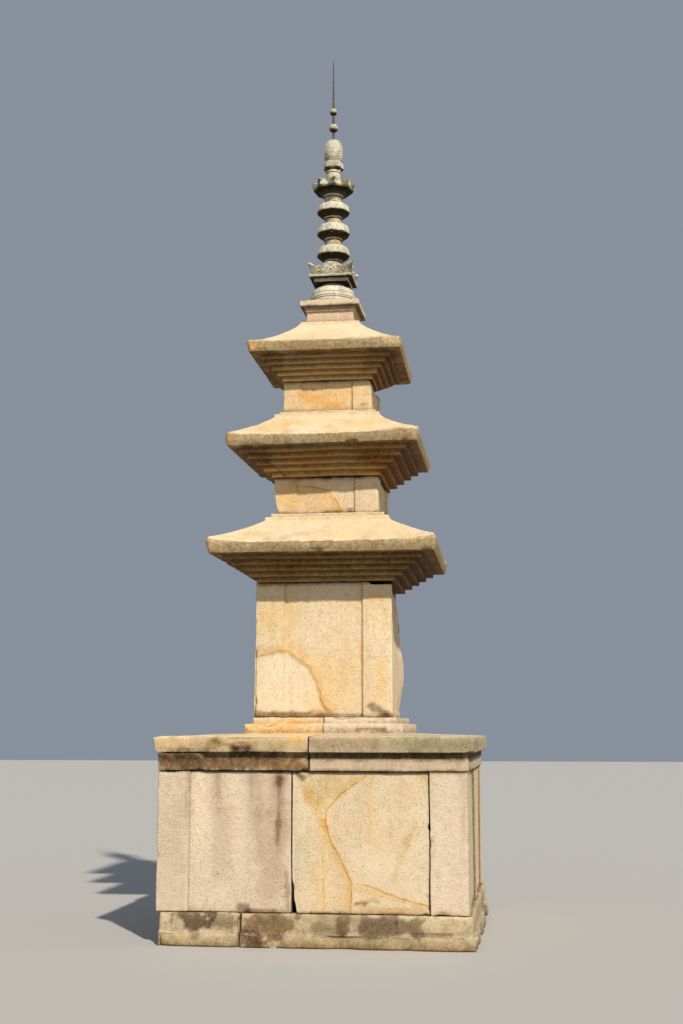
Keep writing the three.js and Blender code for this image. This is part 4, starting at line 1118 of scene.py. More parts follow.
roofWear = {
    "swell": 0.004, "dressing": 0.0016, "chips": 0.030, "chipSize": 0.13, "chipLevel": 0.40,
    "rounding": 0.004,
}
roofGrid = {
    "rowStep": 0.021, "step": 0.0175, "rounding": 0.006, "close": 0.030, "coarse": (1, 1.3, 2.2, 1.8),
}
roofs = {
    "roof_1": {
        "soffitBottom": 2.579, "eaveBottom": 2.769, "half": 0.838, "bulge": 0.864, "bulgeRise": 0.077,
        "topHalf": 0.848, "face": 0.084, "lift": 0.046, "liftPower": 7, "firstInset": 0.090,
        "inset": 0.0546, "slopeEnd": 0.478, "slopeTop": 3.060, "curve": 1.1, "lowerTop": 3.090,
        "upper": 0.438, "top": 3.120, "turn": 1.0, "shift": 0.008, "tilt": (0, 0), "broken": [],
        "undercut": (0, 0), "soffit": (0.40, 0.295, 0.12), "stripes": (0.50, 0.56, 0.66),
        "gradient": 0.25, "rust": 0.20,
    },
    "roof_2": {
        "soffitBottom": 3.408, "eaveBottom": 3.602, "half": 0.721, "bulge": 0.743, "bulgeRise": 0.069,
        "topHalf": 0.736, "face": 0.075, "lift": 0.036, "liftPower": 3, "firstInset": 0.078,
        "inset": 0.0546, "slopeEnd": 0.416, "slopeTop": 3.888, "curve": 1.2, "lowerTop": 3.914,
        "upper": 0.380, "top": 3.938, "turn": 0.8, "shift": 0.0, "tilt": (0.012, 0.014),
        "broken": [{"corner": (-1, -1), "reach": 0.10, "depth": 0.008, "low": 3.68, "high": 3.74}],
        "undercut": (0, 0), "soffit": (0.74, 0.61, 0.34), "stripes": (0.44, 0.52, 0.66), "gradient": 0.62,
        "rust": 0.75,
    },
    "roof_3": {
        "soffitBottom": 4.186, "eaveBottom": 4.371, "half": 0.588, "bulge": 0.605, "bulgeRise": 0.072,
        "topHalf": 0.598, "face": 0.078, "lift": 0.016, "liftPower": 3, "firstInset": 0.082,
        "inset": 0.0375, "slopeEnd": 0.250, "slopeTop": 4.669, "curve": 1.4, "lowerTop": 4.680,
        "upper": 0.238, "top": 4.700, "turn": 1.0, "shift": 0.0, "tilt": (0, 0),
        "broken": [{"corner": (1, -1), "reach": 0.13, "depth": 0.020, "low": 4.43, "high": 4.52}],
        "undercut": (0.290, 0.050), "soffit": (0.69, 0.59, 0.37), "stripes": (0.40, 0.48, 0.62),
        "gradient": 0.45, "rust": 0.25,
    },
}


sideSoffit = (0.56, 0.44, 0.32)  # painted shade: the right side's soffits are darker than the front's
roofPatches = {
    "roof_1": [
        ("spot", (0.20, 2.848, 0.09, 0.016), (1.7, 1.6, 1.5), 0.8),
        ("spot", (-0.76, 2.82, 0.08, 0.05), (1.25, 1.2, 1.1), 0.7),
        ("spot", (0.72, 2.84, 0.15, 0.05), (1.25, 1.2, 1.05), 0.7),
        ("spot", (-0.25, 2.79, 0.3, 0.025), (0.8, 0.74, 0.62), 0.6),
        ("spot", (0.60, 2.70, 0.22, 0.08), (0.70, 0.62, 0.50), 0.8),
        ("spot", (-0.30, 2.63, 0.30, 0.05), (1.15, 1.1, 1.0), 0.8),
        ("streak", (0.05, 0.10, 2.92, 3.10), (0.93, 0.90, 0.84), 0.8),
        ("spot", (-0.45, 2.92, 0.20, 0.04), (0.92, 0.86, 0.76), 0.8),
    ],
    "roof_2": [
        ("spot", (-0.50, 3.65, 0.22, 0.035), (1.2, 1.2, 1.12), 0.7),
        ("spot", (-0.33, 3.64, 0.03, 0.05), (0.72, 0.56, 0.38), 0.8),
        ("spot", (0.60, 3.70, 0.04, 0.025), (0.85, 0.56, 0.36), 0.8),
        ("spot", (0.15, 3.66, 0.15, 0.04), (1.15, 1.0, 0.8), 0.6),
        ("spot", (-0.68, 3.67, 0.05, 0.04), (1.2, 0.9, 0.6), 0.7),
        ("spot", (-0.35, 3.75, 0.2, 0.05), (0.98, 0.86, 0.66), 0.6),
        ("spot", (-0.50, 3.54, 0.14, 0.10), (0.62, 0.54, 0.44), 0.9),
        ("spot", (-0.08, 3.54, 0.24, 0.05), (1.12, 0.86, 0.60), 0.9),
        ("line", ([(-0.46, 3.515), (-0.40, 3.49), (-0.36, 3.455), (-0.31, 3.415)], 0.012),
         (0.45, 0.34, 0.24), 0.9),
        ("spot", (0.42, 3.50, 0.20, 0.08), (0.72, 0.56, 0.42), 0.9),
        ("spot", (0.30, 3.80, 0.30, 0.08), (1.0, 0.90, 0.72), 0.8),
        ("spot", (-0.30, 3.82, 0.20, 0.06), (0.98, 0.84, 0.62), 0.6),
        ("spot", (0.0, 3.415, 0.45, 0.02), (0.75, 0.66, 0.50), 0.8),
    ],
    "roof_3": [
        ("spot", (-0.58, 4.43, 0.04, 0.035), (1.3, 1.0, 0.66), 0.9),
        ("spot", (-0.555, 4.405, 0.024, 0.018), (1.6, 1.5, 1.3), 0.9),
        ("spot", (0.50, 4.425, 0.12, 0.045), (1.45, 1.42, 1.35), 0.7),
        ("spot", (-0.48, 4.40, 0.1, 0.05), (1.2, 1.1, 0.9), 0.7),
        ("spot", (-0.1, 4.40, 0.35, 0.04), (0.85, 0.8, 0.7), 0.6),
        ("spot", (-0.40, 4.31, 0.12, 0.09), (0.66, 0.58, 0.46), 0.9),
        ("spot", (0.42, 4.30, 0.14, 0.09), (0.68, 0.56, 0.44), 0.9),
        ("spot", (0.05, 4.26, 0.22, 0.05), (1.12, 1.04, 0.9), 0.8),
        ("line", ([(0.20, 4.475), (0.36, 4.470), (0.52, 4.462)], 0.012), (0.55, 0.50, 0.42), 0.8),
    ],
}


# The profile of a roof stone as (half width, height, lift of the corners, corner radius): five soffit
# steps, the leaning eave face, a slope with z = eave + rise * share^curve and lift * (1 - share)^1.5, and
# two low steps.
def roofProfile(roof):
    crisp, round = 0.008, 0.032
    corners = []
    rise = (roof["eaveBottom"] - roof["soffitBottom"]) / 5
    for step in range(5):
        half = roof["half"] - roof["firstInset"] - (4 - step) * roof["inset"]
        bottom = roof["soffitBottom"] + step * rise
        corners += [(half, bottom, 0.0, crisp), (half, bottom + rise, 0.0, crisp)]
    corners.insert(0, (corners[0][0] - 0.05, roof["soffitBottom"], 0.0, crisp))
    corners.append((roof["half"], roof["eaveBottom"], 0.0, 0.024))
    corners.append((roof["bulge"], roof["eaveBottom"] + roof["bulgeRise"], 0.4 * roof["lift"], round))
    eaveTop = roof["eaveBottom"] + roof["face"]
    for share in (0, 0.06, 0.12, 0.2, 0.28, 0.37, 0.46, 0.55, 0.64, 0.73, 0.82, 0.91, 1):
        half = roof["topHalf"] + (roof["slopeEnd"] - roof["topHalf"]) * share
        height = eaveTop + (roof["slopeTop"] - eaveTop) * share ** roof["curve"]
        lift = roof["lift"] * (1 - share) ** 1.5
        corners.append((half, height, lift, round + (crisp - round) * share ** 0.5))
    corners += [(roof["slopeEnd"], roof["lowerTop"], 0, crisp), (roof["upper"], roof["lowerTop"], 0, crisp)]
    corners += [(roof["upper"], roof["top"], 0, crisp), (roof["upper"] - 0.05, roof["top"], 0, crisp)]
    return corners


# A broken corner draws points within its reach towards the middle by depth * (1 - distance / reach).
def breakCorners(grid, roof):
    for broken in roof["broken"]:
        tip = np.array(broken["corner"]) * roof["half"]
        away = np.linalg.norm(grid[..., :2] - tip, axis=-1)
        aboveLow = ramp(grid[..., 2], broken["low"] - 0.02, broken["low"])
        inBand = aboveLow * ramp(grid[..., 2], broken["high"] + 0.02, broken["high"])
        jagged = 1 + 0.35 * cloud(grid, 0.07, 91, 2)
        loss = broken["depth"] * np.clip(1 - away / broken["reach"], 0, 1) * inBand * jagged
        grid[..., :2] -= np.array(broken["corner"]) * loss[..., None]
    return grid


# The soffit's back right corner broke off along a plane: where x + y is past 2 * half - cut, half of the
# excess comes off each of them. The cut shrinks from the soffit's bottom to the eave.
def undercutCorner(grid, roof, halfs):
    z = grid[..., 2]
    share = np.clip((z - roof["soffitBottom"]) / (roof["eaveBottom"] - roof["soffitBottom"]), 0, 1)
    cut = roof["undercut"][0] + (roof["undercut"][1] - roof["undercut"][0]) * share
    jagged = 0.02 * cloud(grid, 0.06, 93, 2)
    excess = np.clip(grid[..., 0] + grid[..., 1] - (2 * halfs - cut) + jagged, 0, None)
    below = ramp(z, roof["eaveBottom"] + 0.004, roof["eaveBottom"] - 0.004)
    grid[..., :2] -= (excess * below * (cut > 0) / 2)[..., None]
    return grid


# Tilts the eave by rise / 2 * (1 + x / half), fading towards the middle, then turns and shifts the stone.
def laid(grid, roof):
    x, y = grid[..., 0].copy(), grid[..., 1].copy()
    outer = ramp(np.maximum(np.abs(x), np.abs(y)), roof["slopeEnd"], roof["half"])
    right, back = roof["tilt"]
    grid[..., 2] += outer / 2 * (right * (1 + x / roof["half"]) + back * (1 + y / roof["half"]))
    angle = math.radians(roof["turn"])
    grid[..., 0] = x * math.cos(angle) - y * math.sin(angle) + roof["shift"]
    grid[..., 1] = x * math.sin(angle) + y * math.cos(angle)
    return grid


# A roof stone: each row of the profile goes round the square, raised by its lift * |place|^liftPower, with
# place from -1 to 1 along a side. The underside gets painted shade with some dirt, darkest towards the top
# of each of its steps.
def makeRoof(node, seed):
    roof = roofs[node]
    path, sharp = roundedProfile(roofProfile(roof), roofGrid["rounding"], roofGrid["rowStep"])
    half = roof["half"]
    loop = rectangleLoop(2 * half, 2 * half, roofGrid["step"], roofGrid["close"], coarse=roofGrid["coarse"])
    out = np.stack([path[:, 0] - half, path[:, 1]], -1)
    grid = blockGrid((-half, half, -half, half), out, loop, path[:, 3:4], seed=seed)
    along = np.abs(loop[3]) / half
    grid[..., 2] += path[:, 2:3] * along ** roof["liftPower"]
    grid = undercutCorner(breakCorners(grid, roof), roof, path[:, :1])
    soffit = ramp(grid[..., 2], roof["eaveBottom"] + 0.004, roof["eaveBottom"] - 0.004)
    nearCorner = loop[4][None] * (1 - 0.5 * soffit)
    edges = np.maximum(sharp[:, None] * (1 - 0.65 * soffit), nearCorner)
    edges = edges * (1 - 0.75 * ramp(grid[..., 2], roof["slopeTop"] - 0.03, roof["slopeTop"]))
    grid = laid(worn(grid, edges, roofWear, seed), roof)
    height = path[:, 1:2] + 0.004 * cloud(grid, 0.045, seed + 2, 3)
    eaveTop = roof["eaveBottom"] + roof["face"]
    aboveSoffit = ramp(height, roof["eaveBottom"] - 0.004, roof["eaveBottom"] + 0.002)
    onEave = aboveSoffit * ramp(height, eaveTop + 0.003, eaveTop - 0.003)
    depth = ramp(height, roof["soffitBottom"] - 0.02, roof["eaveBottom"] - 0.03)
    tone = soffit * (0.92 + 0.10 * cloud(grid, 0.16, seed + 8, 4))
    slope = ramp(height, eaveTop - 0.004, eaveTop + 0.006)
    dirty = np.clip(cloud(grid, 0.09, seed + 4, 4), 0, 1)
    drips = 0.42 * slope * dirty * ramp(height, eaveTop + 0.20, eaveTop)
    tint = painted(grid, roofPatches[node], seed + 7, -0.55 * half)
    # painted shade on the soffit: brown all over, lighter on the inner steps than towards the eave, and
    # darker towards the top of each of its steps, where dirt gathers too
    rise = (roof["eaveBottom"] - roof["soffitBottom"]) / 5
    share = np.mod((path[:, 1:2] - roof["soffitBottom"]) / rise - 1e-4, 1)
    stepDirtAndShade = soffit * ramp(share + 0.12 * cloud(grid, 0.10, seed + 5, 3), 0.25, 0.92)
    tint = tint * (1 - stepDirtAndShade[..., None] * np.array(roof["stripes"]))
    tint = tint * (1 - tone[..., None] * (1 - np.array(roof["soffit"])))
    tint = tint * (1 + soffit * roof["gradient"] * (0.45 - depth))[..., None]
    faceShare = (height - roof["eaveBottom"]) / roof["face"] - 0.5
    tint = tint * (1 + 0.22 * onEave * np.clip(faceShare, -0.5, 0.5))[..., None]
    # painted shade on the right side's soffit
    tint = tint * (1 - (soffit * (loop[2] == 1))[..., None] * (1 - np.array(sideSoffit)))
    rust = 0.05 + roof["rust"] * soffit * np.clip(0.25 + cloud(grid, 0.5, seed + 6, 3), 0, 1)
    shownEdges = edges * 0.45 * (1 - soffit) * (1 - 0.75 * onEave)
    grime = np.clip(onEave + drips, 0, 1)
    stone(node, grid, cream, "granite_cream", shownEdges, rust=rust, tint=tint, grime=grime)


print("roof stones")
for number, node in enumerate(roofs):
    makeRoof(node, 501 + 13 * number)


# Finial

rodBore = 0.00945
finialReach = 0.010  # how far the wear of an edge reaches on the small turned stones
finialWear = {"swell": 0.0015, "dressing": 0.0012, "chips": 0.008, "chipSize": 0.05, "rounding": 0.001}


# Angles round a ring that start at the front left corner, so that a round ring lines up with a square one.
def ringAngles(count):
    return -3 * math.pi / 4 + 2 * math.pi * np.arange(count) / count


# Turned stone: a ring of count points for each row of the profile. carving gives new radii for the points.
def roundGrid(path, count, carving=None):
    angles = ringAngles(count)[None]
    r = np.broadcast_to(path[:, :1], (len(path), count)).copy()
    z = np.broadcast_to(path[:, 1:2], (len(path), count)).copy()
    if carving is not None:
        r = carving(angles, r, z)
    return np.stack([r * np.cos(angles), r * np.sin(angles), z], -1)


# Adds the rings of the rod's bore, at the angles of the stone's own columns.
def withBore(grid, angles, top, bottom):
    rings = [np.stack([rodBore * np.cos(angles), rodBore * np.sin(angles), np.full(len(angles), z)], -1)
             for z in (top, bottom)]
    return np.concatenate([grid, np.array(rings)])


# A turned stone from its profile, worn and bored. Its marks are worked out from the worn points.
def makeTurned(node, corners, count, seed, rounding=0.004, step=0.006, carving=None, **marks):
    path, sharp = roundedProfile(corners, rounding, step, finialReach)
    grid = roundGrid(path, count, carving)
    edges = np.broadcast_to(sharp[:, None], grid.shape[:2])
    grid = worn(grid, edges, finialWear, seed)
    top, bottom = corners[-1][1], corners[0][1]
    grid = withBore(grid, ringAngles(count), top, bottom)
    edges = np.concatenate([edges, np.zeros((2, count))])
    given = {key: value(grid) for key, value in marks.items()}
    stone(node, grid, finialGrey, "granite_finial", edges * 0.6, bored=True, **given)


finialBase = {
    "bottom": 4.700, "foot": 0.189, "footTop": 4.788, "band": 0.205, "bandBottom": 4.797, "slab": 0.239,
    "slabBottom": 4.833, "top": 4.883, "inner": 0.143, "topInner": 0.185, "rowStep": 0.010, "step": 0.011,
    "corner": 0.006, "pinkness": (0.08, 0.13, 0.05),
    "wear": {"swell": 0.002, "dressing": 0.001, "chips": 0.012, "chipSize": 0.07, "rounding": 0.002},
    # heights between which the slab's colour, the shade under it, its end and the slab's stain come and go
    "slabFrom": (4.829, 4.835), "shadeFrom": (4.800, 4.812), "shadeEnd": (4.836, 4.834),
    "stainEnd": (4.862, 4.838),
}


# The finial's square foot, pinkish below its slab and shaded under it.
def makeFinialBase():
    b = finialBase
    slab, bottom, slabBottom, top = b["slab"], b["bottom"], b["slabBottom"], b["top"]
    corners = [(b["inner"], bottom), (b["foot"], bottom), (b["foot"], b["footTop"]),
               (b["band"], b["bandBottom"]), (b["band"], slabBottom), (slab, slabBottom), (slab, top),
               (b["topInner"], top)]
    path, sharp = roundedProfile(corners, 0.004, b["rowStep"])
    loop = rectangleLoop(2 * slab, 2 * slab, b["step"], b["corner"])
    out = np.stack([path[:, 0] - slab, path[:, 1]], -1)
    grid = blockGrid((-slab, slab, -slab, slab), out, loop, b["corner"], seed=601)
    edges = np.maximum(sharp[:, None], loop[4][None] * 0.8)
    grid = worn(grid, edges, b["wear"], 601)
    z = grid[..., 2]
    onSlab = ramp(z, *b["slabFrom"])
    underSlab = ramp(z, *b["shadeFrom"]) * ramp(z, *b["shadeEnd"])
    pinkish = 1 - (1 - 0.8 * onSlab[..., None]) * np.array(b["pinkness"])
    tint = pinkish * (1 - 0.45 * underSlab[..., None])
    stain = 0.55 * onSlab * ramp(z, *b["stainEnd"])
    stone("finial_base", grid, cream, "granite_cream", edges * 0.4, grime=0.12 + 0.18 * onSlab, tint=tint,
          stain=stain)


bowl = {
    "profile": [(0.13, 4.883), (0.188, 4.883), (0.1875, 4.92), (0.1865, 4.955), (0.183, 4.976),
                (0.1766, 4.993), (0.165, 5.012), (0.152, 5.026), (0.128, 5.038), (0.112, 5.041),
                (0.08, 5.041)],
    "grooves": (4.925, 4.940, 4.972, 4.984), "depth": 0.0045, "width": 0.0035, "columns": 96,
    "step": 0.0038,
}


# The bowl has shallow grooves in pairs: r - depth * exp(-((z - groove) / width)^2).
def makeBowl():
    def grooved(_, r, z):
        for groove in bowl["grooves"]:
            r = r - bowl["depth"] * np.exp(-((z - groove) / bowl["width"]) ** 2)
        return r

    makeTurned("inverted_bowl", bowl["profile"], bowl["columns"], 611, carving=grooved, step=bowl["step"])


bowlNeck = {
    "profile": [(0.07, 5.041), (0.104, 5.041), (0.104, 5.063), (0.140, 5.063), (0.140, 5.098),
                (0.10, 5.098)],
    "squareFrom": (5.062, 5.064), "squareOut": (0.100, 0.108), "columns": 96,  # the step on top is square
}


# Round below and square above: r * (1 + squareness * (1 / max(|cos|, |sin|) - 1)).
def makeBowlNeck():
    path, sharp = roundedProfile(bowlNeck["profile"], 0.003, 0.006)
    count = bowlNeck["columns"]
    angles = ringAngles(count)[None]
    squareness = ramp(path[:, 1:2], *bowlNeck["squareFrom"]) * ramp(path[:, :1], *bowlNeck["squareOut"])
    toSquare = 1 / np.maximum(np.abs(np.cos(angles)), np.abs(np.sin(angles)))
    r = path[:, :1] * (1 + squareness * (toSquare - 1))
    z = np.broadcast_to(path[:, 1:2], r.shape)
    grid = np.stack([r * np.cos(angles), r * np.sin(angles), z], -1)
    edges = np.broadcast_to(sharp[:, None], grid.shape[:2])
    top, bottom = bowlNeck["profile"][-1][1], bowlNeck["profile"][0][1]
    grid = withBore(worn(grid, edges, finialWear, 621), ringAngles(count), top, bottom)
    edges = np.concatenate([edges, np.zeros((2, count))])
    stone("bowl_neck", grid, finialGrey, "granite_finial", edges * 0.5, bored=True)


bracket = {
    "bottom": 5.098, "slab": 0.176, "slabTop": 5.121, "rim": 0.169, "rimTop": 5.165, "flare": 0.136,
    "leafRise": 0.054, "flowerRise": 0.065, "fillRise": 0.024, "step": 0.0068, "inside": 5.165,
    "flowerHalf": 0.42, "fillPlace": 0.52, "fillWidth": 0.16, "carved": 0.003,
    "arcs": {"centre": 0.015, "spacing": 0.017, "reach": 0.078},
    "scroll": {"place": 0.108, "centre": 0.022, "spacing": 0.014, "reach": 0.030},
}


# The bracket's upper edge: rimTop + leafRise * |s|^2.6 at the corners + the greater of flowerRise *
# sqrt(1 - (s / flowerHalf)^2) in the middle and fillRise * exp(-((|s| - fillPlace) / fillWidth)^2) beside
# it, where s runs from -1 to 1 along each side. The carving is carved * cos(2 pi * distance / spacing)
# about the flower's centre and about a scroll on either side.
def makeBracket():
    b = bracket
    slab = b["slab"]
    corners = [(0.12, b["bottom"], 0), (slab, b["bottom"], 0), (slab, b["slabTop"], 0),
               (0.150, b["slabTop"] + 0.003, 0), (0.158, 5.145, 0.4), (b["rim"], b["rimTop"], 1),
               (0.138, b["rimTop"], 1), (0.128, b["slabTop"] + 0.02, 0), (0.092, b["inside"], 0),
               (0.05, b["inside"], 0)]
    path, sharp = roundedProfile(corners, 0.003, b["step"])
    loop = rectangleLoop(2 * slab, 2 * slab, b["step"], 0.004)
    out = np.stack([path[:, 0] - slab, path[:, 1]], -1)
    grid = blockGrid((-slab, slab, -slab, slab), out, loop, 0.004, seed=631)
    s = loop[3] / slab
    grid[..., :2] *= (1 + b["flare"] * path[:, 2:3] * np.abs(s) ** 4)[..., None]
    flower = np.sqrt(np.clip(1 - (s / b["flowerHalf"]) ** 2, 0, 1))
    fill = np.exp(-((np.abs(s) - b["fillPlace"]) / b["fillWidth"]) ** 2)
    crest = b["leafRise"] * np.abs(s) ** 2.6 + np.maximum(b["flowerRise"] * flower, b["fillRise"] * fill)
    grid[..., 2] += path[:, 2:3] * crest
    onBand = ramp(grid[..., 2], b["slabTop"], b["slabTop"] + 0.006) * (path[:, :1] > 0.15)
    arcs, scroll = b["arcs"], b["scroll"]
    fromFlower = np.hypot(loop[3][None], grid[..., 2] - (b["slabTop"] + arcs["centre"]))
    inFlower = fromFlower < arcs["reach"]
    carving = b["carved"] * np.cos(2 * math.pi * fromFlower / arcs["spacing"]) * inFlower
    aboveScroll = grid[..., 2] - (b["slabTop"] + scroll["centre"])
    fromScroll = np.hypot(np.abs(loop[3][None]) - scroll["place"], aboveScroll)
    inScroll = (fromScroll < scroll["reach"]) & ~inFlower
    carving = carving + b["carved"] * np.cos(2 * math.pi * fromScroll / scroll["spacing"]) * inScroll
    grid = grid + outward(grid) * (carving * onBand)[..., None]
    edges = np.maximum(sharp[:, None], loop[4][None] * 0.8)
    grid = worn(grid, edges, finialWear, 631)
    columnAngles = np.arctan2(grid[0, :, 1], grid[0, :, 0])
    grid = withBore(grid, columnAngles, b["inside"], b["bottom"])
    edges = np.concatenate([edges, np.zeros((2, edges.shape[1]))])
    # the slab's lower part is darker
    darkened = ramp(grid[..., 2], b["slabTop"] - 0.003, b["slabTop"] - 0.009)
    stone("lotus_bracket", grid, finialGrey, "granite_finial", edges * 0.6, bored=True, grime=0.85 * darkened)


wheel = {
    "neck": 0.071, "collarRadius": 0.080, "collarHeight": 0.020, "radius": 0.134, "undercut": 0.030,
    "face": 0.026, "rise": 0.096, "petals": 8, "petalDepth": 0.008, "scallop": 0.004, "bottom": 5.165,
    "top": 5.772, "rims": (5.313, 5.499, 5.685), "columns": 128, "step": 0.0064,
}
stemTint, crownLight = (0.97, 0.84, 0.76), 0.90


# Petals on the wheel's crown: raised where |place| < sqrt(1 - v^2), with place from -1 to 1 across each
# petal and v from 0 at the rim to 1 at the neck, and a second row in the gaps.
def petalRelief(angles, v):
    place = np.mod(angles * wheel["petals"] / (2 * math.pi) + 0.5, 1) * 2 - 1
    width = np.sqrt(np.clip(1 - v ** 2, 0, 1)) * 0.95
    lobe = ramp(width - np.abs(place), 0.0, 0.18)
    sideVeins = 0.25 * np.exp(-((np.abs(place) - 0.45 * width) / 0.08) ** 2)
    vein = 0.35 * np.exp(-(place / 0.10) ** 2) + sideVeins
    between = np.exp(-((np.abs(place) - 1) / 0.16) ** 2) * ramp(v, 0.15, 0.4) * ramp(v, 1.0, 0.8)
    return lobe * (1 - vein) + 0.6 * between


# The stems between the wheels are warmer than the wheels.
def neckTint(grid):
    share = ramp(np.hypot(grid[..., 0], grid[..., 1]), 0.094, 0.084)
    return crownLight + share[..., None] * (np.array(stemTint) - crownLight)


# A wheel on its stem: collar, dished underside, rim and crown. The crown loses petalDepth * (1 - petals),
# and the radius grows by scallop * |cos(petals * angle / 2)|^0.7.
def makeWheel(number):
    rim = wheel["rims"][number]
    bottom = wheel["bottom"] if number == 0 else wheel["rims"][number - 1] + wheel["rise"]
    top = wheel["top"] if number == 2 else rim + wheel["rise"]
    neck, radius = wheel["neck"], wheel["radius"]
    dish = rim - wheel["undercut"]
    crown = rim + wheel["face"]
    collar = dish - wheel["collarHeight"]
    collarRadius = wheel["collarRadius"]
    rise = top - crown
    corners = [
        (0.05, bottom), (neck, bottom), (neck, collar - 0.004), (collarRadius, collar),
        (collarRadius, dish - 0.003), (neck + 0.004, dish), (0.098, dish + 0.003),
        (radius - 0.006, rim - 0.002), (radius, rim + 0.006), (radius, crown),
        (0.127, crown + 0.45 * rise), (0.115, crown + 0.75 * rise), (0.098, crown + 0.92 * rise),
        (0.078, top), (0.05, top),
    ]

    def carved(angles, r, z):
        v = np.clip((z - crown) / (top - 0.008 - crown), 0, 1)
        onCrown = ramp(z, crown - 0.004, crown + 0.004) * ramp(r, 0.086, 0.092)
        wave = np.abs(np.cos(wheel["petals"] * angles / 2)) ** 0.7
        scallop = wheel["scallop"] * wave * ramp(r, 0.10, 0.12)
        return r - wheel["petalDepth"] * onCrown * (1 - petalRelief(angles, v)) + scallop - 0.003

    # painted shade under the wheel's rim
    def shaded(grid):
        fromRod = np.hypot(grid[..., 0], grid[..., 1])
        return ramp(grid[..., 2], rim + 0.020, rim + 0.002) * ramp(fromRod, 0.088, 0.10)

    makeTurned(f"wheel_{number + 1}", corners, wheel["columns"], 641 + number, rounding=0.003,
               step=wheel["step"], carving=carved, grime=shaded, tint=neckTint)


lowerTone, leafDark = (0.46, 0.43, 0.30), (0.27, 0.24, 0.15)
canopy = {
    "bottom": 5.772, "neck": 0.071, "collarRadius": 0.080, "collarBottom": 5.822, "collarTop": 5.841,
    "dish": 5.852, "rim": 5.880, "floor": 5.900, "radius": 0.167, "crest": 0.066, "notchTop": 0.014,
    "flare": 0.095, "turn": 13.0, "groove": 0.004, "rib": 0.004, "columns": 176, "rowStep": 0.0072,
}


# The octagon: r = cos(22.5 deg) / cos(angle from the middle of its side). Each corner carries a leaf whose
# edge rises as |cos 4a|^0.35, cut by a notch on either side and darker on one half. Under the rim's lip
# it gets painted shade.
def makeCanopy():
    c = canopy
    count = c["columns"]
    eighth = math.pi / 4
    angles = ringAngles(count)[None]
    fromLeaf = angles - math.radians(c["turn"])
    octagon = math.cos(eighth / 2) / np.cos(np.mod(fromLeaf, eighth) - eighth / 2)
    leaf = np.abs(np.cos(4 * fromLeaf))
    crest = c["notchTop"] + (c["crest"] - c["notchTop"]) * leaf ** 0.35
    folded = ramp(-np.sin(8 * fromLeaf), 0.05, 0.45)
    rim = c["rim"]
    corners = [
        (0.05, c["bottom"], 0, 0), (c["neck"], c["bottom"], 0, 0), (c["neck"], 5.818, 0, 0),
        (c["collarRadius"], c["collarBottom"], 0, 0), (c["collarRadius"], c["collarTop"], 0, 0),
        (0.096, c["dish"], 0, 0), (0.140, 5.862, 0, 0.6), (c["radius"] - 0.003, rim - 0.004, 0, 1),
        (c["radius"], rim + 0.006, 0.05, 1), (c["radius"] - 0.004, rim, 0.6, 1), (c["radius"], rim, 1, 1),
        (c["radius"] - 0.020, rim, 1, 1), (c["radius"] - 0.034, c["floor"], 0, 0.8),
        (0.09, c["floor"], 0, 0), (0.05, c["floor"], 0, 0),
    ]
    path, sharp = roundedProfile(corners, 0.003, c["rowStep"])
    r = path[:, :1] * (1 + path[:, 3:4] * (octagon - 1)) * (1 + c["flare"] * path[:, 2:3] * leaf ** 3)
    z = path[:, 1:2] + path[:, 2:3] * crest
    groove = c["groove"] * (1 - ramp(leaf, 0.0, 0.35)) * (path[:, 3:4] >= 0.99)
    rib = c["rib"] * np.exp(-((1 - leaf) / 0.02) ** 2) * (path[:, 2:3] > 0.1)
    r = r - groove + rib
    # painted shade under the rim's lip
    underLipShade = 0.9 * ramp(z, rim + 0.024, rim + 0.004) * ramp(path[:, :1], 0.10, 0.12)
    # darker on one half of each leaf and between the leaves
    darkened = np.maximum(folded, 0.7 * ramp(leaf, 0.45, 0.15)) * (path[:, 3:4] > 0.5)
    tint = (1 - 0.5 * underLipShade)[..., None] * (1 - darkened[..., None] * (1 - np.array(leafDark)))
    grid = np.stack([r * np.cos(angles), r * np.sin(angles), z], -1)
    edges = np.broadcast_to(sharp[:, None], grid.shape[:2])
    grid = withBore(worn(grid, edges, finialWear, 651), ringAngles(count), c["floor"], c["bottom"])
    boreRings = np.zeros((2, count))
    edges = np.concatenate([edges * (1 - 0.8 * darkened), boreRings])
    underLipShade = np.concatenate([underLipShade, boreRings])
    tint = np.concatenate([tint, np.ones((2, count, 3))])
    shownEdges = edges * 0.6 * (1 - underLipShade)
    stone("canopy", grid, finialGrey, "granite_finial", shownEdges, bored=True, grime=underLipShade, tint=tint)


flameNeck = [
    (0.05, 5.900), (0.072, 5.900), (0.072, 5.918), (0.062, 5.930), (0.057, 5.978), (0.057, 6.031),
    (0.062, 6.037), (0.062, 6.055), (0.04, 6.055),
]


bud = {
    "bottom": 6.055, "lobeTop": 6.131, "top": 6.318, "neck": 0.062, "lobe": 0.0845, "lobes": 5,
    "lobeTurn": 54, "lobeDepth": 0.14, "bandHalf": 15, "beadsRound": 21.6, "beadRise": 0.022,
    "beadDepth": 0.0045, "borderDepth": 0.004,
    # radii above the lobes, as (share of the height, radius)
    "swelling": [(0.12, 0.070), (0.28, 0.076), (0.45, 0.079), (0.65, 0.077), (0.82, 0.069), (0.94, 0.058),
                 (1.0, 0.050)],
}


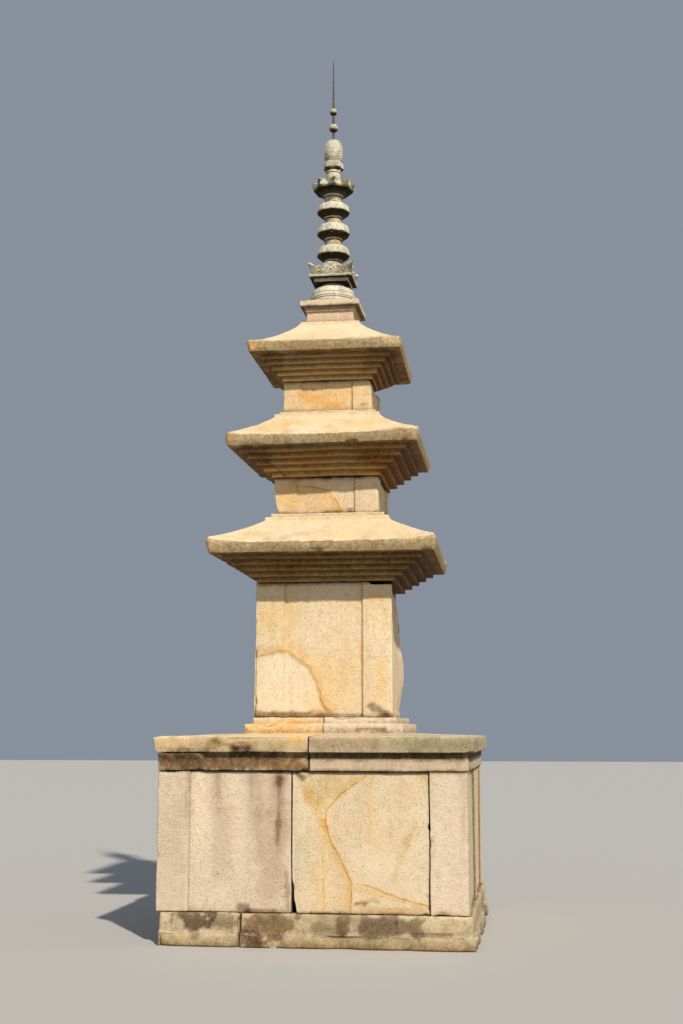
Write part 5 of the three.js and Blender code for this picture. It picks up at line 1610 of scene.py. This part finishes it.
# The bud swells below its middle and ends in a broad flat top. Four smooth panels face the sides. Between
# them run bands of beads, which are products of two cosines, and five lobes stand below.
def makeBud():
    bottom, lobeTop, top = bud["bottom"], bud["lobeTop"], bud["top"]
    neck, lobe = bud["neck"], bud["lobe"]
    corners = [(0.04, bottom), (neck, bottom), (lobe, bottom + 0.022), (lobe, lobeTop - 0.014),
               (neck, lobeTop)]
    for share, r in bud["swelling"]:
        corners.append((r, lobeTop + share * (top - lobeTop)))
    corners.append((0.015, top))
    bandHalf = math.radians(bud["bandHalf"])

    def carved(angles, r, z):
        lobes = ramp(z, lobeTop, lobeTop - 0.012) * ramp(z, bottom, bottom + 0.01)
        between = np.abs(np.sin(bud["lobes"] / 2 * (angles + math.radians(bud["lobeTurn"])))) ** 3
        r = r * (1 - bud["lobeDepth"] * between * lobes)
        oval = ramp(z, lobeTop, lobeTop + 0.012) * ramp(z, top, top - 0.02)
        quarter = np.mod(angles, math.pi / 2) - math.pi / 4
        beaded = ramp(np.abs(quarter), bandHalf, math.radians(bud["bandHalf"] - 2))
        border = np.exp(-((np.abs(quarter) - bandHalf) / math.radians(1.6)) ** 2)
        rows = np.abs(np.cos(math.pi * (z - lobeTop) / bud["beadRise"]))
        beads = np.cos(quarter * bud["beadsRound"]) ** 2 * rows
        return r - oval * (bud["borderDepth"] * border + beaded * bud["beadDepth"] * (1 - beads))

    def dusty(grid):
        return 0.30 + 0.2 * np.clip(cloud(grid, 0.05, 672, 3), 0, 1)

    makeTurned("flame_bud", corners, 132, 671, rounding=0.003, step=0.0052, carving=carved, grime=dusty)


# A bead is a ball cut flat above and below, as radius * (cos, sin) of angles between the two cuts.
def makeBead(node, centre, radius, seed):
    corners = []
    for share in range(11):
        angle = -math.pi / 2 + 0.28 + share * (math.pi - 0.56) / 10
        corners.append((radius * math.cos(angle), centre + radius * math.sin(angle)))

    # darker towards the bottom of the bead
    def darkerBelow(grid):
        share = ramp(grid[..., 2], centre + radius, centre - 0.6 * radius)
        return 0.9 * (1 - share[..., None] * (1 - np.array(lowerTone)))

    makeTurned(node, corners, 48, seed, rounding=0.002, step=0.005, tint=darkerBelow)


rodTaper = [(0.009, 6.62), (0.0068, 6.75), (0.0045, 6.95)]


# The rod is thinner above the beads and pitted by a small cloud.
def makeRod():
    low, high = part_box("finial_rod")
    tip = [(0.0035, high.z - 0.008), (0.0008, high.z)]
    corners = [(0.002, low.z), (rodTaper[0][0], low.z), *rodTaper, *tip]
    path, _ = roundedProfile(corners, 0.002, 0.03)
    grid = roundGrid(path, 20)
    grid = grid - outward(grid) * (0.0006 * cloud(grid, 0.04, 691, 2))[..., None]
    grid[..., 2] = np.clip(grid[..., 2], low.z, high.z)
    mesh = skinMesh("rod", grid, {"edge": 0.0})
    mesh.materials.append(iron)
    piece = bpy.data.objects.new("iron_rod", mesh)
    bpy.context.scene.collection.objects.link(piece)
    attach(piece, "root")
    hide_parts("finial_rod")


print("finial")
makeFinialBase()
makeBowl()
makeBowlNeck()
makeBracket()
for number in range(3):
    makeWheel(number)
makeCanopy()
makeTurned("flame_neck", flameNeck, 96, 661)
makeBud()
makeBead("bead_lower", 6.437, 0.038, 681)
makeBead("bead_upper", 6.580, 0.032, 683)
makeRod()
